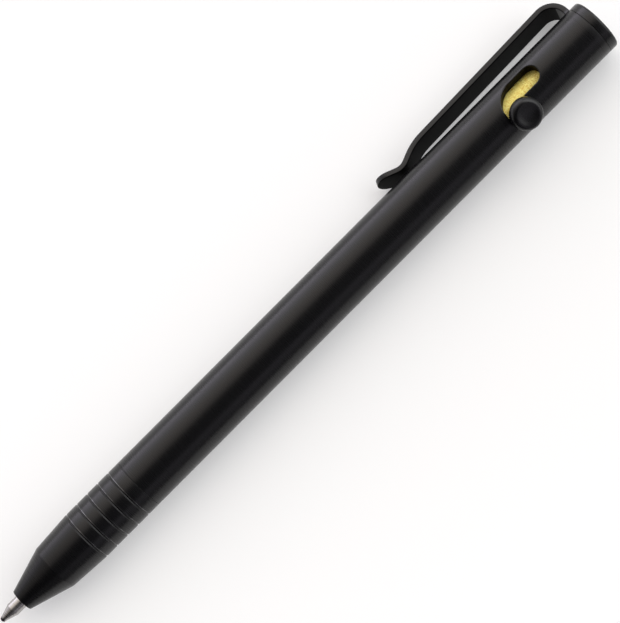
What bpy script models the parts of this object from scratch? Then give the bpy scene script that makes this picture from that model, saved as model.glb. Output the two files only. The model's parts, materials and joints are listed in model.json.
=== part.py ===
"""A bolt action pen, lying on a table with its refill out.

The pen lies along X with the writing tip towards -X, resting on its barrel and on the lower edge of its clip.
Places along the pen are measured from the flat face of its nose, towards the rear. An angle around the pen is
counted from straight up, +Z, towards +Y. The model stands on z = 0, with the origin under the middle of its box.
"""

import math

import bmesh
import bpy
from mathutils import Vector

MM = 0.001

# Clearances and tool overrun
SEAM_GAP = 0.05 * MM
RUNNING_GAP = 0.08 * MM
SEAT_GAP = 0.10 * MM
OVERRUN = 0.60 * MM
MERGE_DISTANCE = 0.0001 * MM

# Front section: the nose, its taper and the grip grooves. It screws into the barrel in the line of the last groove
NOSE_RADIUS = 2.00 * MM
NOSE_CONE_LENGTH = 7.68 * MM
NOSE_CONE_RADIUS = 4.30 * MM
NOSE_EDGE_RADIUS = 0.18 * MM
GRIP_TAPER_LENGTH = 7.02 * MM
GROOVE_COUNT = 5
GROOVE_PITCH = 2.40 * MM
GROOVE_WIDTH = 0.36 * MM
GROOVE_DEPTH = 0.13 * MM
GROOVE_SETBACK = 0.07 * MM
SPRING_POCKET_RADIUS = 2.45 * MM
POCKET_LEAD = 0.55 * MM
BORE_LEAD = 1.25 * MM
FRONT_SPIGOT_RADIUS = 3.85 * MM
FRONT_SPIGOT_LENGTH = 6.50 * MM
FRONT_SPIGOT_CHAMFER = 0.20 * MM

# Barrel, wide enough inside for the refill in front and for the bolt behind
BARREL_RADIUS = 4.75 * MM
BARREL_EDGE_BREAK = 0.10 * MM
FRONT_SEAM_BREAK = 0.16 * MM
BORE_RADIUS = 3.20 * MM
REAR_BORE_RADIUS = 2.86 * MM
REAR_BORE_SETBACK = 0.50 * MM

# Slot for the bolt: a straight track, and a leg that bends off its front end to the resting notch
SLOT_HALF_WIDTH = 1.68 * MM
SLOT_EDGE_BREAK = 0.20 * MM
TRACK_LENGTH = 3.56 * MM
LEG_BEND_RADIUS = 2.65 * MM
LEG_BEND = math.radians(75.0)
LEG_ROOM = 0.67 * MM
LEG_RAMP = 0.80 * MM
LEG_TURN = math.radians(45.0)
CLIP_TO_TRACK = math.radians(90.0)

# Bolt: the brass plunger and the knob screwed into it through the slot
STEM_SETBACK = 7.15 * MM
STEM_RADIUS = 1.40 * MM
STEM_THREAD_RADIUS = 1.15 * MM
STEM_THREAD_DEPTH = 4.20 * MM
STEM_THREAD_CHAMFER = 0.15 * MM
PLUNGER_REAR_LENGTH = 8.20 * MM
PLUNGER_CHAMFER = 0.30 * MM
KNOB_LIFT = 0.50 * MM
KNOB_RADIUS = 2.75 * MM
KNOB_HEIGHT = 1.95 * MM
KNOB_TOP_ROUND = 0.80 * MM
KNOB_FOOT_ROUND = 0.25 * MM
KNOB_DISH_RADIUS = 1.85 * MM
KNOB_DISH_DEPTH = 0.22 * MM
KNOB_DISH_SLOPE = 0.15 * MM

# Rear end: the clip's eye is held between the barrel and the screwed-in cap
BARREL_BEHIND_STEM = 16.50 * MM
CAP_FLANGE_LENGTH = 1.70 * MM
CAP_EDGE_ROUND = 0.45 * MM
CAP_SEAM_BREAK = 0.06 * MM
CAP_SPIGOT_RADIUS = 3.55 * MM
CAP_SPIGOT_DEPTH = 2.70 * MM
CAP_SPIGOT_CHAMFER = 0.30 * MM
CAP_BORE_DEPTH = 3.20 * MM

# Clip, one bent strip with an eye
CLIP_THICKNESS = 1.00 * MM
CLIP_WIDTH = 4.90 * MM
CLIP_EDGE_BREAK = 0.12 * MM
CLIP_BEND_RADIUS = 3.10 * MM
CLIP_RUN_HEIGHT = 7.90 * MM
CLIP_RUN_LENGTH = 27.60 * MM
CLIP_RUN_SLOPE = math.radians(1.46)
CLIP_SHOULDER_RADIUS = 10.00 * MM
CLIP_DIP_SLOPE = math.radians(23.3)
CLIP_BUMP_RADIUS = 2.50 * MM
CLIP_BUMP_GAP = 0.35 * MM
CLIP_RISE_SLOPE = math.radians(24.0)
CLIP_RISE_LENGTH = 4.05 * MM
CLIP_END_ARC = math.radians(78.0)
CLIP_ROOT_DEPTH = 0.85 * MM

# Refill
TIP_REACH = 4.75 * MM
REFILL_LENGTH = 111.0 * MM
TIP_RADIUS = 1.20 * MM
TIP_CONE_LENGTH = 2.65 * MM
TIP_RIM_RADIUS = 0.42 * MM
TIP_LENGTH = 9.70 * MM
TIP_TAIL_RADIUS = 0.95 * MM
TIP_TAIL_LENGTH = 4.00 * MM
TIP_FEED_RADIUS = 0.50 * MM
TIP_CHANNEL_RADIUS = 0.15 * MM
TIP_CHANNEL_LENGTH = 1.30 * MM
BALL_RADIUS = 0.35 * MM
BALL_GAP = 0.02 * MM
BALL_RIM_ANGLE = math.radians(25.0)
HOLDER_NECK_RADIUS = 1.75 * MM
HOLDER_SHOULDER = 15.60 * MM
HOLDER_SHOULDER_LENGTH = 2.00 * MM
HOLDER_PLUG_LENGTH = 4.50 * MM
HOLDER_FEED_RADIUS = 0.60 * MM
TUBE_RADIUS = 2.98 * MM
TUBE_WALL = 0.45 * MM
REAR_PLUG_FLANGE = 1.50 * MM
REAR_PLUG_LENGTH = 4.00 * MM
REAR_VENT_RADIUS = 0.50 * MM
REFILL_EDGE_BREAK = 0.15 * MM

# Return spring
SPRING_WIRE = 0.40 * MM
SPRING_RADIUS = 2.08 * MM
SPRING_TURNS = 6.75
SPRING_POINTS_PER_TURN = 12

# Facets around the turned pieces, and steps along their rounded edges
BARREL_STEPS = 56
FITTING_STEPS = 40
FINE_STEPS = 32
BALL_STEPS = 24
ARC_STEPS = 5
SLOT_ARC_STEPS = 7
SLOT_EASE_STEPS = 2
BEND_STEP = math.radians(9.0)
SHARP_ANGLE = math.radians(30.0)

# Places and angles that follow from the sizes above
GROOVE_START = NOSE_CONE_LENGTH + GRIP_TAPER_LENGTH + GROOVE_SETBACK + GROOVE_WIDTH / 2
FRONT_SEAM = GROOVE_START + GROOVE_COUNT * GROOVE_PITCH
BARREL_FRONT = FRONT_SEAM + SEAM_GAP
HOLDER_NECK_START = TIP_LENGTH + SEAM_GAP
SPRING_POCKET_START = HOLDER_NECK_START - TIP_REACH - POCKET_LEAD
BORE_START = HOLDER_SHOULDER - TIP_REACH - BORE_LEAD
REFILL_REAR = REFILL_LENGTH - TIP_REACH
PLUNGER_FRONT = REFILL_REAR + SEAM_GAP
PLUNGER_RADIUS = REAR_BORE_RADIUS - RUNNING_GAP
STEM_REST = PLUNGER_FRONT + STEM_SETBACK
PLUNGER_REAR = STEM_REST + PLUNGER_REAR_LENGTH
LEG_LOW = STEM_REST - LEG_ROOM
LEG_BEND_CENTRE = LEG_LOW + LEG_BEND_RADIUS
LEG_BEND_ACROSS = LEG_BEND_RADIUS * math.sin(LEG_BEND)
TRACK_FRONT = LEG_BEND_CENTRE - LEG_BEND_RADIUS * math.cos(LEG_BEND)
TRACK_REAR = TRACK_FRONT + TRACK_LENGTH
NOTCH_ACROSS = BARREL_RADIUS * LEG_TURN
RAMP_ANGLE = math.atan2(LEG_RAMP, REAR_BORE_RADIUS * LEG_TURN)
NOTCH_WALL = STEM_REST + (STEM_RADIUS + SEAM_GAP) / math.cos(RAMP_ANGLE)
BOLT_TRAVEL = TRACK_REAR + SLOT_HALF_WIDTH - STEM_RADIUS - SEAM_GAP - STEM_REST
REAR_BORE_START = REFILL_REAR + BOLT_TRAVEL + REAR_BORE_SETBACK
BARREL_REAR = STEM_REST + BARREL_BEHIND_STEM
EYE_FRONT = BARREL_REAR + SEAM_GAP
EYE_REAR = EYE_FRONT + CLIP_THICKNESS
FLANGE_FRONT = EYE_REAR + SEAM_GAP
PEN_REAR = FLANGE_FRONT + CAP_FLANGE_LENGTH
PEN_MIDDLE = (PEN_REAR - TIP_REACH) / 2
CAP_BORE_RADIUS = CAP_SPIGOT_RADIUS + RUNNING_GAP
EYE_HOLE_RADIUS = CAP_BORE_RADIUS
SPIGOT_FRONT = BARREL_REAR - CAP_SPIGOT_DEPTH
TIP_HOLE_RADIUS = TIP_RADIUS + RUNNING_GAP
CLIP_END_ROUND = CLIP_WIDTH / 2
CLIP_END_LENGTH = CLIP_END_ROUND * math.sin(CLIP_END_ARC)
CLIP_OUTER_REACH = CLIP_RUN_HEIGHT + CLIP_THICKNESS / 2
CLIP_CORNER_REACH = math.hypot(CLIP_OUTER_REACH, CLIP_WIDTH / 2)
CLIP_CORNER_ANGLE = math.atan2(CLIP_WIDTH / 2, CLIP_OUTER_REACH)
CLIP_ANGLE = math.pi / 2 + math.asin(BARREL_RADIUS / CLIP_CORNER_REACH) - CLIP_CORNER_ANGLE
TRACK_ANGLE = CLIP_ANGLE - CLIP_TO_TRACK
REST_ANGLE = TRACK_ANGLE - LEG_TURN
KNOB_FOOT = BARREL_RADIUS + KNOB_LIFT
KNOB_TOP = KNOB_FOOT + KNOB_HEIGHT
KNOB_SIDE_REACH = (KNOB_TOP - KNOB_TOP_ROUND) * math.sin(-REST_ANGLE) + KNOB_RADIUS * math.cos(REST_ANGLE)
CLIP_SIDE_REACH = CLIP_CORNER_REACH * math.sin(CLIP_ANGLE - CLIP_CORNER_ANGLE)
PEN_SHIFT = (max(KNOB_SIDE_REACH, BARREL_RADIUS) - CLIP_SIDE_REACH) / 2
BALL_PLACE = BALL_RADIUS - TIP_REACH

AXES = {"X": Vector((1, 0, 0)), "Z": Vector((0, 0, 1))}


def outward(angle):
    """The direction that points out of the pen at this angle around it."""
    return Vector((0, math.sin(angle), math.cos(angle)))


def sideways(angle):
    """The direction square to outward, towards growing angles."""
    return Vector((0, math.cos(angle), -math.sin(angle)))


def clear_scene():
    for obj in list(bpy.data.objects):
        bpy.data.objects.remove(obj, do_unlink=True)


def make_material(name, colour, roughness, metallic):
    material = bpy.data.materials.new(name)
    material.use_nodes = True
    shader = material.node_tree.nodes["Principled BSDF"]
    shader.inputs["Base Color"].default_value = (*colour, 1.0)
    shader.inputs["Roughness"].default_value = roughness
    shader.inputs["Metallic"].default_value = metallic
    return material


def make_empty(name, location, parent=None):
    empty = bpy.data.objects.new(name, None)
    empty.location = location
    empty.parent = parent
    bpy.context.collection.objects.link(empty)
    return empty


def finish_mesh(bm, name):
    """Welds, turns the faces outwards and shades round faces smooth."""
    bmesh.ops.remove_doubles(bm, verts=bm.verts[:], dist=MERGE_DISTANCE)
    bmesh.ops.recalc_face_normals(bm, faces=bm.faces[:])
    mesh = bpy.data.meshes.new(name)
    bm.to_mesh(mesh)
    bm.free()
    mesh.shade_smooth()
    mesh.set_sharp_from_angle(angle=SHARP_ANGLE)
    return mesh


def add_object(name, data, material, parent, location=(0, 0, 0), rotation=(0, 0, 0)):
    obj = bpy.data.objects.new(name, data)
    data.materials.append(material)
    obj.parent = parent
    obj.location = location
    obj.rotation_euler = rotation
    bpy.context.collection.objects.link(obj)
    return obj


def make_helper(obj):
    """A cutter or a joined-in shape, which is no piece of its own."""
    obj.hide_render = True
    obj.display_type = "WIRE"
    return obj


def combine(obj, other, operation):
    modifier = obj.modifiers.new(f"{operation.lower()} {other.name}", "BOOLEAN")
    modifier.operation = operation
    modifier.solver = "EXACT"
    modifier.object = other


def turned_mesh(name, outline, steps, axis="X"):
    """Spins an outline of (place along the axis, radius) points. It may start and end on the axis, or close on itself."""
    bm = bmesh.new()
    side = Vector((0, 0, 1)) if axis == "X" else Vector((1, 0, 0))
    points = [bm.verts.new(AXES[axis] * along + side * radius) for along, radius in outline]
    edges = [bm.edges.new(pair) for pair in zip(points, points[1:])]
    if outline[0][1] > 0:
        edges.append(bm.edges.new((points[-1], points[0])))
    bmesh.ops.spin(
        bm,
        geom=points + edges,
        cent=(0, 0, 0),
        axis=AXES[axis],
        angle=2 * math.pi,
        steps=steps,
        use_merge=True,
    )
    return finish_mesh(bm, name)


def lofted_mesh(name, rings):
    """Skins a row of equal rings of points and closes both ends."""
    bm = bmesh.new()
    rows = [[bm.verts.new(point) for point in ring] for ring in rings]
    for row, following in zip(rows, rows[1:]):
        for i in range(len(row)):
            bm.faces.new((row[i - 1], row[i], following[i], following[i - 1]))
    bm.faces.new(rows[0])
    bm.faces.new(rows[-1])
    return finish_mesh(bm, name)


def arc(along, radius, bend, start, end, steps=ARC_STEPS):
    """Points of an outline's round edge about (along, radius), from one angle to another, in degrees."""
    angles = [math.radians(start + (end - start) * i / steps) for i in range(steps + 1)]
    return [(along + bend * math.cos(a), radius + bend * math.sin(a)) for a in angles]


def groove_outline(centre):
    """A shallow groove with sloping sides."""
    bottom = BARREL_RADIUS - GROOVE_DEPTH
    return [
        (centre - GROOVE_WIDTH / 2, BARREL_RADIUS),
        (centre - GROOVE_WIDTH / 4, bottom),
        (centre + GROOVE_WIDTH / 4, bottom),
        (centre + GROOVE_WIDTH / 2, BARREL_RADIUS),
    ]


def front_outline():
    """The front section, from its tip hole round the outside to the threaded spigot and back through the bore."""
    outline = [(0, TIP_HOLE_RADIUS)]
    outline += arc(NOSE_EDGE_RADIUS, NOSE_RADIUS - NOSE_EDGE_RADIUS, NOSE_EDGE_RADIUS, 180, 106, 3)
    outline.append((NOSE_CONE_LENGTH, NOSE_CONE_RADIUS))
    outline.append((NOSE_CONE_LENGTH + GRIP_TAPER_LENGTH, BARREL_RADIUS))
    for i in range(GROOVE_COUNT):
        outline += groove_outline(GROOVE_START + i * GROOVE_PITCH)
    spigot_end = FRONT_SEAM + FRONT_SPIGOT_LENGTH
    outline += [
        (FRONT_SEAM - FRONT_SEAM_BREAK, BARREL_RADIUS),
        (FRONT_SEAM, BARREL_RADIUS - FRONT_SEAM_BREAK),
        (FRONT_SEAM, FRONT_SPIGOT_RADIUS),
        (spigot_end - FRONT_SPIGOT_CHAMFER, FRONT_SPIGOT_RADIUS),
        (spigot_end, FRONT_SPIGOT_RADIUS - FRONT_SPIGOT_CHAMFER),
        (spigot_end, BORE_RADIUS),
        (BORE_START, BORE_RADIUS),
        (BORE_START - (BORE_RADIUS - SPRING_POCKET_RADIUS) / 2, SPRING_POCKET_RADIUS),
        (SPRING_POCKET_START, SPRING_POCKET_RADIUS),
        (SPRING_POCKET_START, TIP_HOLE_RADIUS),
    ]
    return outline


def barrel_outline():
    """The barrel, with a counterbore at either end and a step in its bore in front of the bolt."""
    front_bore = FRONT_SPIGOT_RADIUS + RUNNING_GAP
    front_bore_end = FRONT_SEAM + FRONT_SPIGOT_LENGTH + SEAT_GAP
    cap_bore_end = BARREL_REAR - CAP_BORE_DEPTH
    return [
        (BARREL_FRONT, front_bore),
        (BARREL_FRONT, BARREL_RADIUS - FRONT_SEAM_BREAK),
        (BARREL_FRONT + FRONT_SEAM_BREAK, BARREL_RADIUS),
        (BARREL_REAR - BARREL_EDGE_BREAK, BARREL_RADIUS),
        (BARREL_REAR, BARREL_RADIUS - BARREL_EDGE_BREAK),
        (BARREL_REAR, CAP_BORE_RADIUS + BARREL_EDGE_BREAK),
        (BARREL_REAR - BARREL_EDGE_BREAK, CAP_BORE_RADIUS),
        (cap_bore_end, CAP_BORE_RADIUS),
        (cap_bore_end, REAR_BORE_RADIUS),
        (REAR_BORE_START + BORE_RADIUS - REAR_BORE_RADIUS, REAR_BORE_RADIUS),
        (REAR_BORE_START, BORE_RADIUS),
        (front_bore_end, BORE_RADIUS),
        (front_bore_end, front_bore),
    ]


def wall_point(place, across, radius):
    """A point of the slot's wall. Across is measured around the barrel from the track's middle towards the notch.

    Between the two middles the wall stands straight out from the pen's axis. Beyond them it stands square to the
    end mill's travel, so that a round stem fits the whole depth.
    """
    middle = min(max(across, 0), NOTCH_ACROSS)
    angle = TRACK_ANGLE - middle / BARREL_RADIUS
    aside = across - middle
    up = math.sqrt(radius * radius - aside * aside)
    return Vector((place, 0, 0)) + outward(angle) * up - sideways(angle) * aside


def slot_cutter(name, slices_at, material, parent):
    """A cutter through one side of the barrel, whose mouth widens to break the slot's outer edge.

    Slices_at gives, for a half width, the slot's (front, rear, across) places, from one side to the other.
    """
    break_start = BARREL_RADIUS - SLOT_EDGE_BREAK
    inner = (REAR_BORE_RADIUS + SLOT_HALF_WIDTH) / 2
    rings = []
    for radius in (inner, break_start, BARREL_RADIUS + OVERRUN):
        slices = slices_at(SLOT_HALF_WIDTH + max(0, radius - break_start))
        front = [wall_point(x, across, radius) for x, _, across in slices]
        rear = [wall_point(x, across, radius) for _, x, across in reversed(slices)]
        rings.append(front + rear)
    bm = bmesh.new()
    rows = [[bm.verts.new(point) for point in ring] for ring in rings]
    for row, following in zip(rows, rows[1:]):
        for i in range(len(row)):
            bm.faces.new((row[i - 1], row[i], following[i], following[i - 1]))
    count = len(rows[0])
    for row in (rows[0], rows[-1]):
        for i in range(count // 2 - 1):
            bm.faces.new((row[i], row[i + 1], row[count - 2 - i], row[count - 1 - i]))
    cutter = add_object(name, finish_mesh(bm, name), material, parent)
    return make_helper(cutter)


def track_slices(half):
    """The straight track: two half rounds with a straight run between."""
    turns = [math.pi * i / (2 * SLOT_ARC_STEPS) for i in range(2 * SLOT_ARC_STEPS + 1)]
    return [(TRACK_FRONT - half * math.sin(t), TRACK_REAR + half * math.sin(t), -half * math.cos(t)) for t in turns]


def leg_slices(half):
    """The leg, which bends off the track's front end and runs across to the notch that the stem rests in.

    Its rear wall is the ramp that the stem rides on. It rises from the notch to the track.
    """
    notch_wall = NOTCH_WALL + half - SLOT_HALF_WIDTH

    def ramp(across):
        return notch_wall + LEG_RAMP * (1 - across / NOTCH_ACROSS)

    slices = []
    for i in range(SLOT_EASE_STEPS):
        turn = (math.pi / 2 - LEG_BEND) * i / SLOT_EASE_STEPS
        across = -half * math.cos(turn)
        slices.append((TRACK_FRONT - half * math.sin(turn), ramp(across), across))
    for i in range(SLOT_ARC_STEPS + 1):
        turn = LEG_BEND * (1 - i / SLOT_ARC_STEPS)
        across = LEG_BEND_ACROSS - (LEG_BEND_RADIUS + half) * math.sin(turn)
        slices.append((LEG_BEND_CENTRE - (LEG_BEND_RADIUS + half) * math.cos(turn), ramp(across), across))
    for i in range(SLOT_ARC_STEPS + 1):
        turn = math.pi / 2 * i / SLOT_ARC_STEPS
        across = NOTCH_ACROSS + half * math.sin(turn)
        slices.append((LEG_LOW - half * math.cos(turn), notch_wall - half * (1 - math.cos(turn)), across))
    return slices


def make_front_section(materials, axis):
    mesh = turned_mesh("front_section", front_outline(), BARREL_STEPS)
    add_object("front_section", mesh, materials["black_anodised"], axis)


def make_barrel(materials, axis):
    black = materials["black_anodised"]
    barrel = add_object("barrel", turned_mesh("barrel", barrel_outline(), BARREL_STEPS), black, axis)
    combine(barrel, slot_cutter("track_cutter", track_slices, black, axis), "DIFFERENCE")
    combine(barrel, slot_cutter("leg_cutter", leg_slices, black, axis), "DIFFERENCE")


def make_end_cap(materials, axis):
    """A disc flush with the barrel, with the spigot that screws into it."""
    outline = [(SPIGOT_FRONT, 0)]
    outline.append((SPIGOT_FRONT, CAP_SPIGOT_RADIUS - CAP_SPIGOT_CHAMFER))
    outline.append((SPIGOT_FRONT + CAP_SPIGOT_CHAMFER, CAP_SPIGOT_RADIUS))
    outline.append((FLANGE_FRONT, CAP_SPIGOT_RADIUS))
    outline.append((FLANGE_FRONT, BARREL_RADIUS - CAP_SEAM_BREAK))
    outline.append((FLANGE_FRONT + CAP_SEAM_BREAK, BARREL_RADIUS))
    outline += arc(PEN_REAR - CAP_EDGE_ROUND, BARREL_RADIUS - CAP_EDGE_ROUND, CAP_EDGE_ROUND, 90, 0)
    outline.append((PEN_REAR, 0))
    mesh = turned_mesh("end_cap", outline, BARREL_STEPS)
    add_object("end_cap", mesh, materials["black_anodised"], axis)


def walk(steps):
    """Points, headings and distances along a path of (length, turn) steps from the clip's root, seen from the side.

    A place is (along the pen, out from its axis). A turn in radians bends the step evenly, and outwards is a
    negative turn once the path runs towards the tip.
    """
    place = Vector(((EYE_FRONT + EYE_REAR) / 2, CLIP_RUN_HEIGHT - CLIP_BEND_RADIUS - CLIP_ROOT_DEPTH))
    heading = math.pi / 2
    passed = 0.0
    stations = [(place.copy(), heading, passed)]
    for length, turn in steps:
        pieces = 1 + round(abs(turn) / BEND_STEP)
        for _ in range(pieces):
            chord_heading = heading + turn / pieces / 2
            half_turn = turn / pieces / 2
            chord = length / pieces * (math.sin(half_turn) / half_turn if half_turn else 1)
            place = place + chord * Vector((math.cos(chord_heading), math.sin(chord_heading)))
            heading += turn / pieces
            passed += length / pieces
            stations.append((place.copy(), heading, passed))
    return stations


def clip_stations():
    """The middle line of the bent strip: over the top, along the barrel, down to the bump and up to the tip."""
    over = math.pi / 2 + CLIP_RUN_SLOPE
    down = CLIP_DIP_SLOPE - CLIP_RUN_SLOPE
    up = CLIP_DIP_SLOPE + CLIP_RISE_SLOPE
    shoulder_drop = CLIP_SHOULDER_RADIUS * (math.cos(CLIP_RUN_SLOPE) - math.cos(CLIP_DIP_SLOPE))
    bump_drop = CLIP_BUMP_RADIUS * (1 - math.cos(CLIP_DIP_SLOPE))
    run_drop = CLIP_RUN_LENGTH * math.sin(CLIP_RUN_SLOPE)
    bump_height = BARREL_RADIUS + CLIP_BUMP_GAP + CLIP_THICKNESS / 2
    slope_drop = CLIP_RUN_HEIGHT - run_drop - shoulder_drop - bump_drop - bump_height
    steps = [
        (CLIP_ROOT_DEPTH, 0),
        (CLIP_BEND_RADIUS * over, over),
        (CLIP_RUN_LENGTH, 0),
        (CLIP_SHOULDER_RADIUS * down, down),
        (slope_drop / math.sin(CLIP_DIP_SLOPE), 0),
        (CLIP_BUMP_RADIUS * up, -up),
        (CLIP_RISE_LENGTH - CLIP_END_LENGTH, 0),
    ]
    for i in range(1, ARC_STEPS + 1):
        last, this = (CLIP_END_ARC * k / ARC_STEPS for k in (i - 1, i))
        steps.append((CLIP_END_ROUND * (math.sin(this) - math.sin(last)), 0))
    return walk(steps)


def clip_ring(place, heading, half_width):
    """The strip's cross-section: a flat bar with broken edges."""
    normal = Vector((math.sin(heading), -math.cos(heading)))
    half = CLIP_THICKNESS / 2
    corners = []
    for side, face in ((1, 1), (1, -1), (-1, -1), (-1, 1)):
        on_face = (side * (half_width - CLIP_EDGE_BREAK), face * half)
        on_side = (side * half_width, face * (half - CLIP_EDGE_BREAK))
        corners += [on_face, on_side] if side == face else [on_side, on_face]
    ring = []
    for across, rise in corners:
        along, out = place + normal * rise
        ring.append(Vector((along, 0, 0)) + outward(CLIP_ANGLE) * out + sideways(CLIP_ANGLE) * across)
    return ring


def make_clip(materials, axis):
    stations = clip_stations()
    end = stations[-1][2]
    rings = []
    for place, heading, passed in stations:
        into_round = passed - (end - CLIP_END_LENGTH)
        narrowing = CLIP_END_ROUND - math.sqrt(CLIP_END_ROUND**2 - max(0, into_round) ** 2)
        rings.append(clip_ring(place, heading, CLIP_WIDTH / 2 - narrowing))
    black = materials["black_spring_steel"]
    clip = add_object("clip", lofted_mesh("clip", rings), black, axis)
    eye = [
        (EYE_FRONT, EYE_HOLE_RADIUS),
        (EYE_REAR, EYE_HOLE_RADIUS),
        (EYE_REAR, BARREL_RADIUS - CAP_SEAM_BREAK),
        (EYE_REAR - CAP_SEAM_BREAK, BARREL_RADIUS),
        (EYE_FRONT + CAP_SEAM_BREAK, BARREL_RADIUS),
        (EYE_FRONT, BARREL_RADIUS - CAP_SEAM_BREAK),
    ]
    eye_object = add_object("clip_eye", turned_mesh("clip_eye", eye, BARREL_STEPS), black, axis)
    combine(clip, make_helper(eye_object), "UNION")


def make_plunger(materials, parent):
    """The brass rod that slides in the bore and carries the knob."""
    outline = [
        (PLUNGER_FRONT, 0),
        (PLUNGER_FRONT, PLUNGER_RADIUS - PLUNGER_CHAMFER),
        (PLUNGER_FRONT + PLUNGER_CHAMFER, PLUNGER_RADIUS),
        (PLUNGER_REAR - PLUNGER_CHAMFER, PLUNGER_RADIUS),
        (PLUNGER_REAR, PLUNGER_RADIUS - PLUNGER_CHAMFER),
        (PLUNGER_REAR, 0),
    ]
    brass = materials["brass"]
    plunger = add_object("plunger", turned_mesh("plunger", outline, FITTING_STEPS), brass, parent)
    depth = PLUNGER_RADIUS - STEM_THREAD_DEPTH - SEAM_GAP
    radius = STEM_THREAD_RADIUS + SEAM_GAP
    hole = [(depth, 0), (depth, radius), (PLUNGER_RADIUS + OVERRUN, radius), (PLUNGER_RADIUS + OVERRUN, 0)]
    cutter = add_object(
        "stem_hole_cutter",
        turned_mesh("stem_hole_cutter", hole, FINE_STEPS, "Z"),
        brass,
        parent,
        (STEM_REST, 0, 0),
        (-REST_ANGLE, 0, 0),
    )
    combine(plunger, make_helper(cutter), "DIFFERENCE")


def make_knob(materials, parent):
    """The round button, its stem through the slot and its threaded end. Its outline runs outwards from the plunger."""
    thread_end = PLUNGER_RADIUS - STEM_THREAD_DEPTH
    stem_foot = PLUNGER_RADIUS + SEAM_GAP
    outline = [
        (thread_end, 0),
        (thread_end, STEM_THREAD_RADIUS - STEM_THREAD_CHAMFER),
        (thread_end + STEM_THREAD_CHAMFER, STEM_THREAD_RADIUS),
        (stem_foot, STEM_THREAD_RADIUS),
        (stem_foot, STEM_RADIUS),
        (KNOB_FOOT, STEM_RADIUS),
    ]
    outline += arc(KNOB_FOOT + KNOB_FOOT_ROUND, KNOB_RADIUS - KNOB_FOOT_ROUND, KNOB_FOOT_ROUND, 180, 90, 3)
    outline += arc(KNOB_TOP - KNOB_TOP_ROUND, KNOB_RADIUS - KNOB_TOP_ROUND, KNOB_TOP_ROUND, 90, 0)
    outline += [
        (KNOB_TOP, KNOB_DISH_RADIUS),
        (KNOB_TOP - KNOB_DISH_DEPTH, KNOB_DISH_RADIUS - KNOB_DISH_SLOPE),
        (KNOB_TOP - KNOB_DISH_DEPTH, 0),
    ]
    add_object(
        "bolt_knob",
        turned_mesh("bolt_knob", outline, FITTING_STEPS, "Z"),
        materials["black_anodised"],
        parent,
        (STEM_REST, 0, 0),
        (-REST_ANGLE, 0, 0),
    )


def tip_outline():
    """The metal tip: a cone with the ball's socket, a neck, and a tail pressed into the plastic holder."""
    socket = BALL_RADIUS + BALL_GAP
    front = BALL_RADIUS * (1 - math.sin(BALL_RIM_ANGLE))
    channel = 2 * BALL_RADIUS + TIP_CHANNEL_RADIUS
    rear = TIP_LENGTH + TIP_TAIL_LENGTH
    rim = math.degrees(BALL_RIM_ANGLE)
    outline = arc(BALL_RADIUS, 0, socket, 180 - 90 + rim, 30, 8)
    outline.append((channel, TIP_CHANNEL_RADIUS))
    outline.append((channel + TIP_CHANNEL_LENGTH, TIP_CHANNEL_RADIUS))
    outline.append((channel + TIP_CHANNEL_LENGTH + TIP_FEED_RADIUS, TIP_FEED_RADIUS))
    outline.append((rear, TIP_FEED_RADIUS))
    outline.append((rear, TIP_TAIL_RADIUS))
    outline.append((TIP_LENGTH, TIP_TAIL_RADIUS))
    outline.append((TIP_LENGTH, TIP_RADIUS))
    outline.append((TIP_CONE_LENGTH, TIP_RADIUS))
    outline.append((front, TIP_RIM_RADIUS))
    return [(along - TIP_REACH, radius) for along, radius in outline]


def holder_outline():
    """The plastic holder of the tip: a neck, the shoulder that the spring pushes on, and a plug in the tube."""
    bore = TIP_TAIL_RADIUS + SEAM_GAP
    bore_end = TIP_LENGTH + TIP_TAIL_LENGTH + SEAT_GAP
    plug = HOLDER_SHOULDER + HOLDER_SHOULDER_LENGTH
    plug_radius = TUBE_RADIUS - TUBE_WALL - SEAM_GAP
    outline = [
        (HOLDER_NECK_START, bore),
        (HOLDER_NECK_START, HOLDER_NECK_RADIUS - REFILL_EDGE_BREAK),
        (HOLDER_NECK_START + REFILL_EDGE_BREAK, HOLDER_NECK_RADIUS),
        (HOLDER_SHOULDER, HOLDER_NECK_RADIUS),
        (HOLDER_SHOULDER, TUBE_RADIUS - REFILL_EDGE_BREAK),
        (HOLDER_SHOULDER + REFILL_EDGE_BREAK, TUBE_RADIUS),
        (plug, TUBE_RADIUS),
        (plug, plug_radius),
        (plug + HOLDER_PLUG_LENGTH, plug_radius),
        (plug + HOLDER_PLUG_LENGTH, HOLDER_FEED_RADIUS),
        (bore_end, HOLDER_FEED_RADIUS),
        (bore_end, bore),
    ]
    return [(along - TIP_REACH, radius) for along, radius in outline]


def tube_outline():
    front = HOLDER_SHOULDER + HOLDER_SHOULDER_LENGTH + SEAM_GAP - TIP_REACH
    rear = REFILL_REAR - REAR_PLUG_FLANGE - SEAM_GAP
    inner = TUBE_RADIUS - TUBE_WALL
    return [(front, inner), (front, TUBE_RADIUS), (rear, TUBE_RADIUS), (rear, inner)]


def rear_plug_outline():
    """The vented plug in the refill's rear end, which the plunger pushes on."""
    face = REFILL_REAR - REAR_PLUG_FLANGE
    front = face - REAR_PLUG_LENGTH
    plug_radius = TUBE_RADIUS - TUBE_WALL - SEAM_GAP
    return [
        (front, REAR_VENT_RADIUS),
        (front, plug_radius),
        (face, plug_radius),
        (face, TUBE_RADIUS),
        (REFILL_REAR - REFILL_EDGE_BREAK, TUBE_RADIUS),
        (REFILL_REAR, TUBE_RADIUS - REFILL_EDGE_BREAK),
        (REFILL_REAR, REAR_VENT_RADIUS),
    ]


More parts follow.
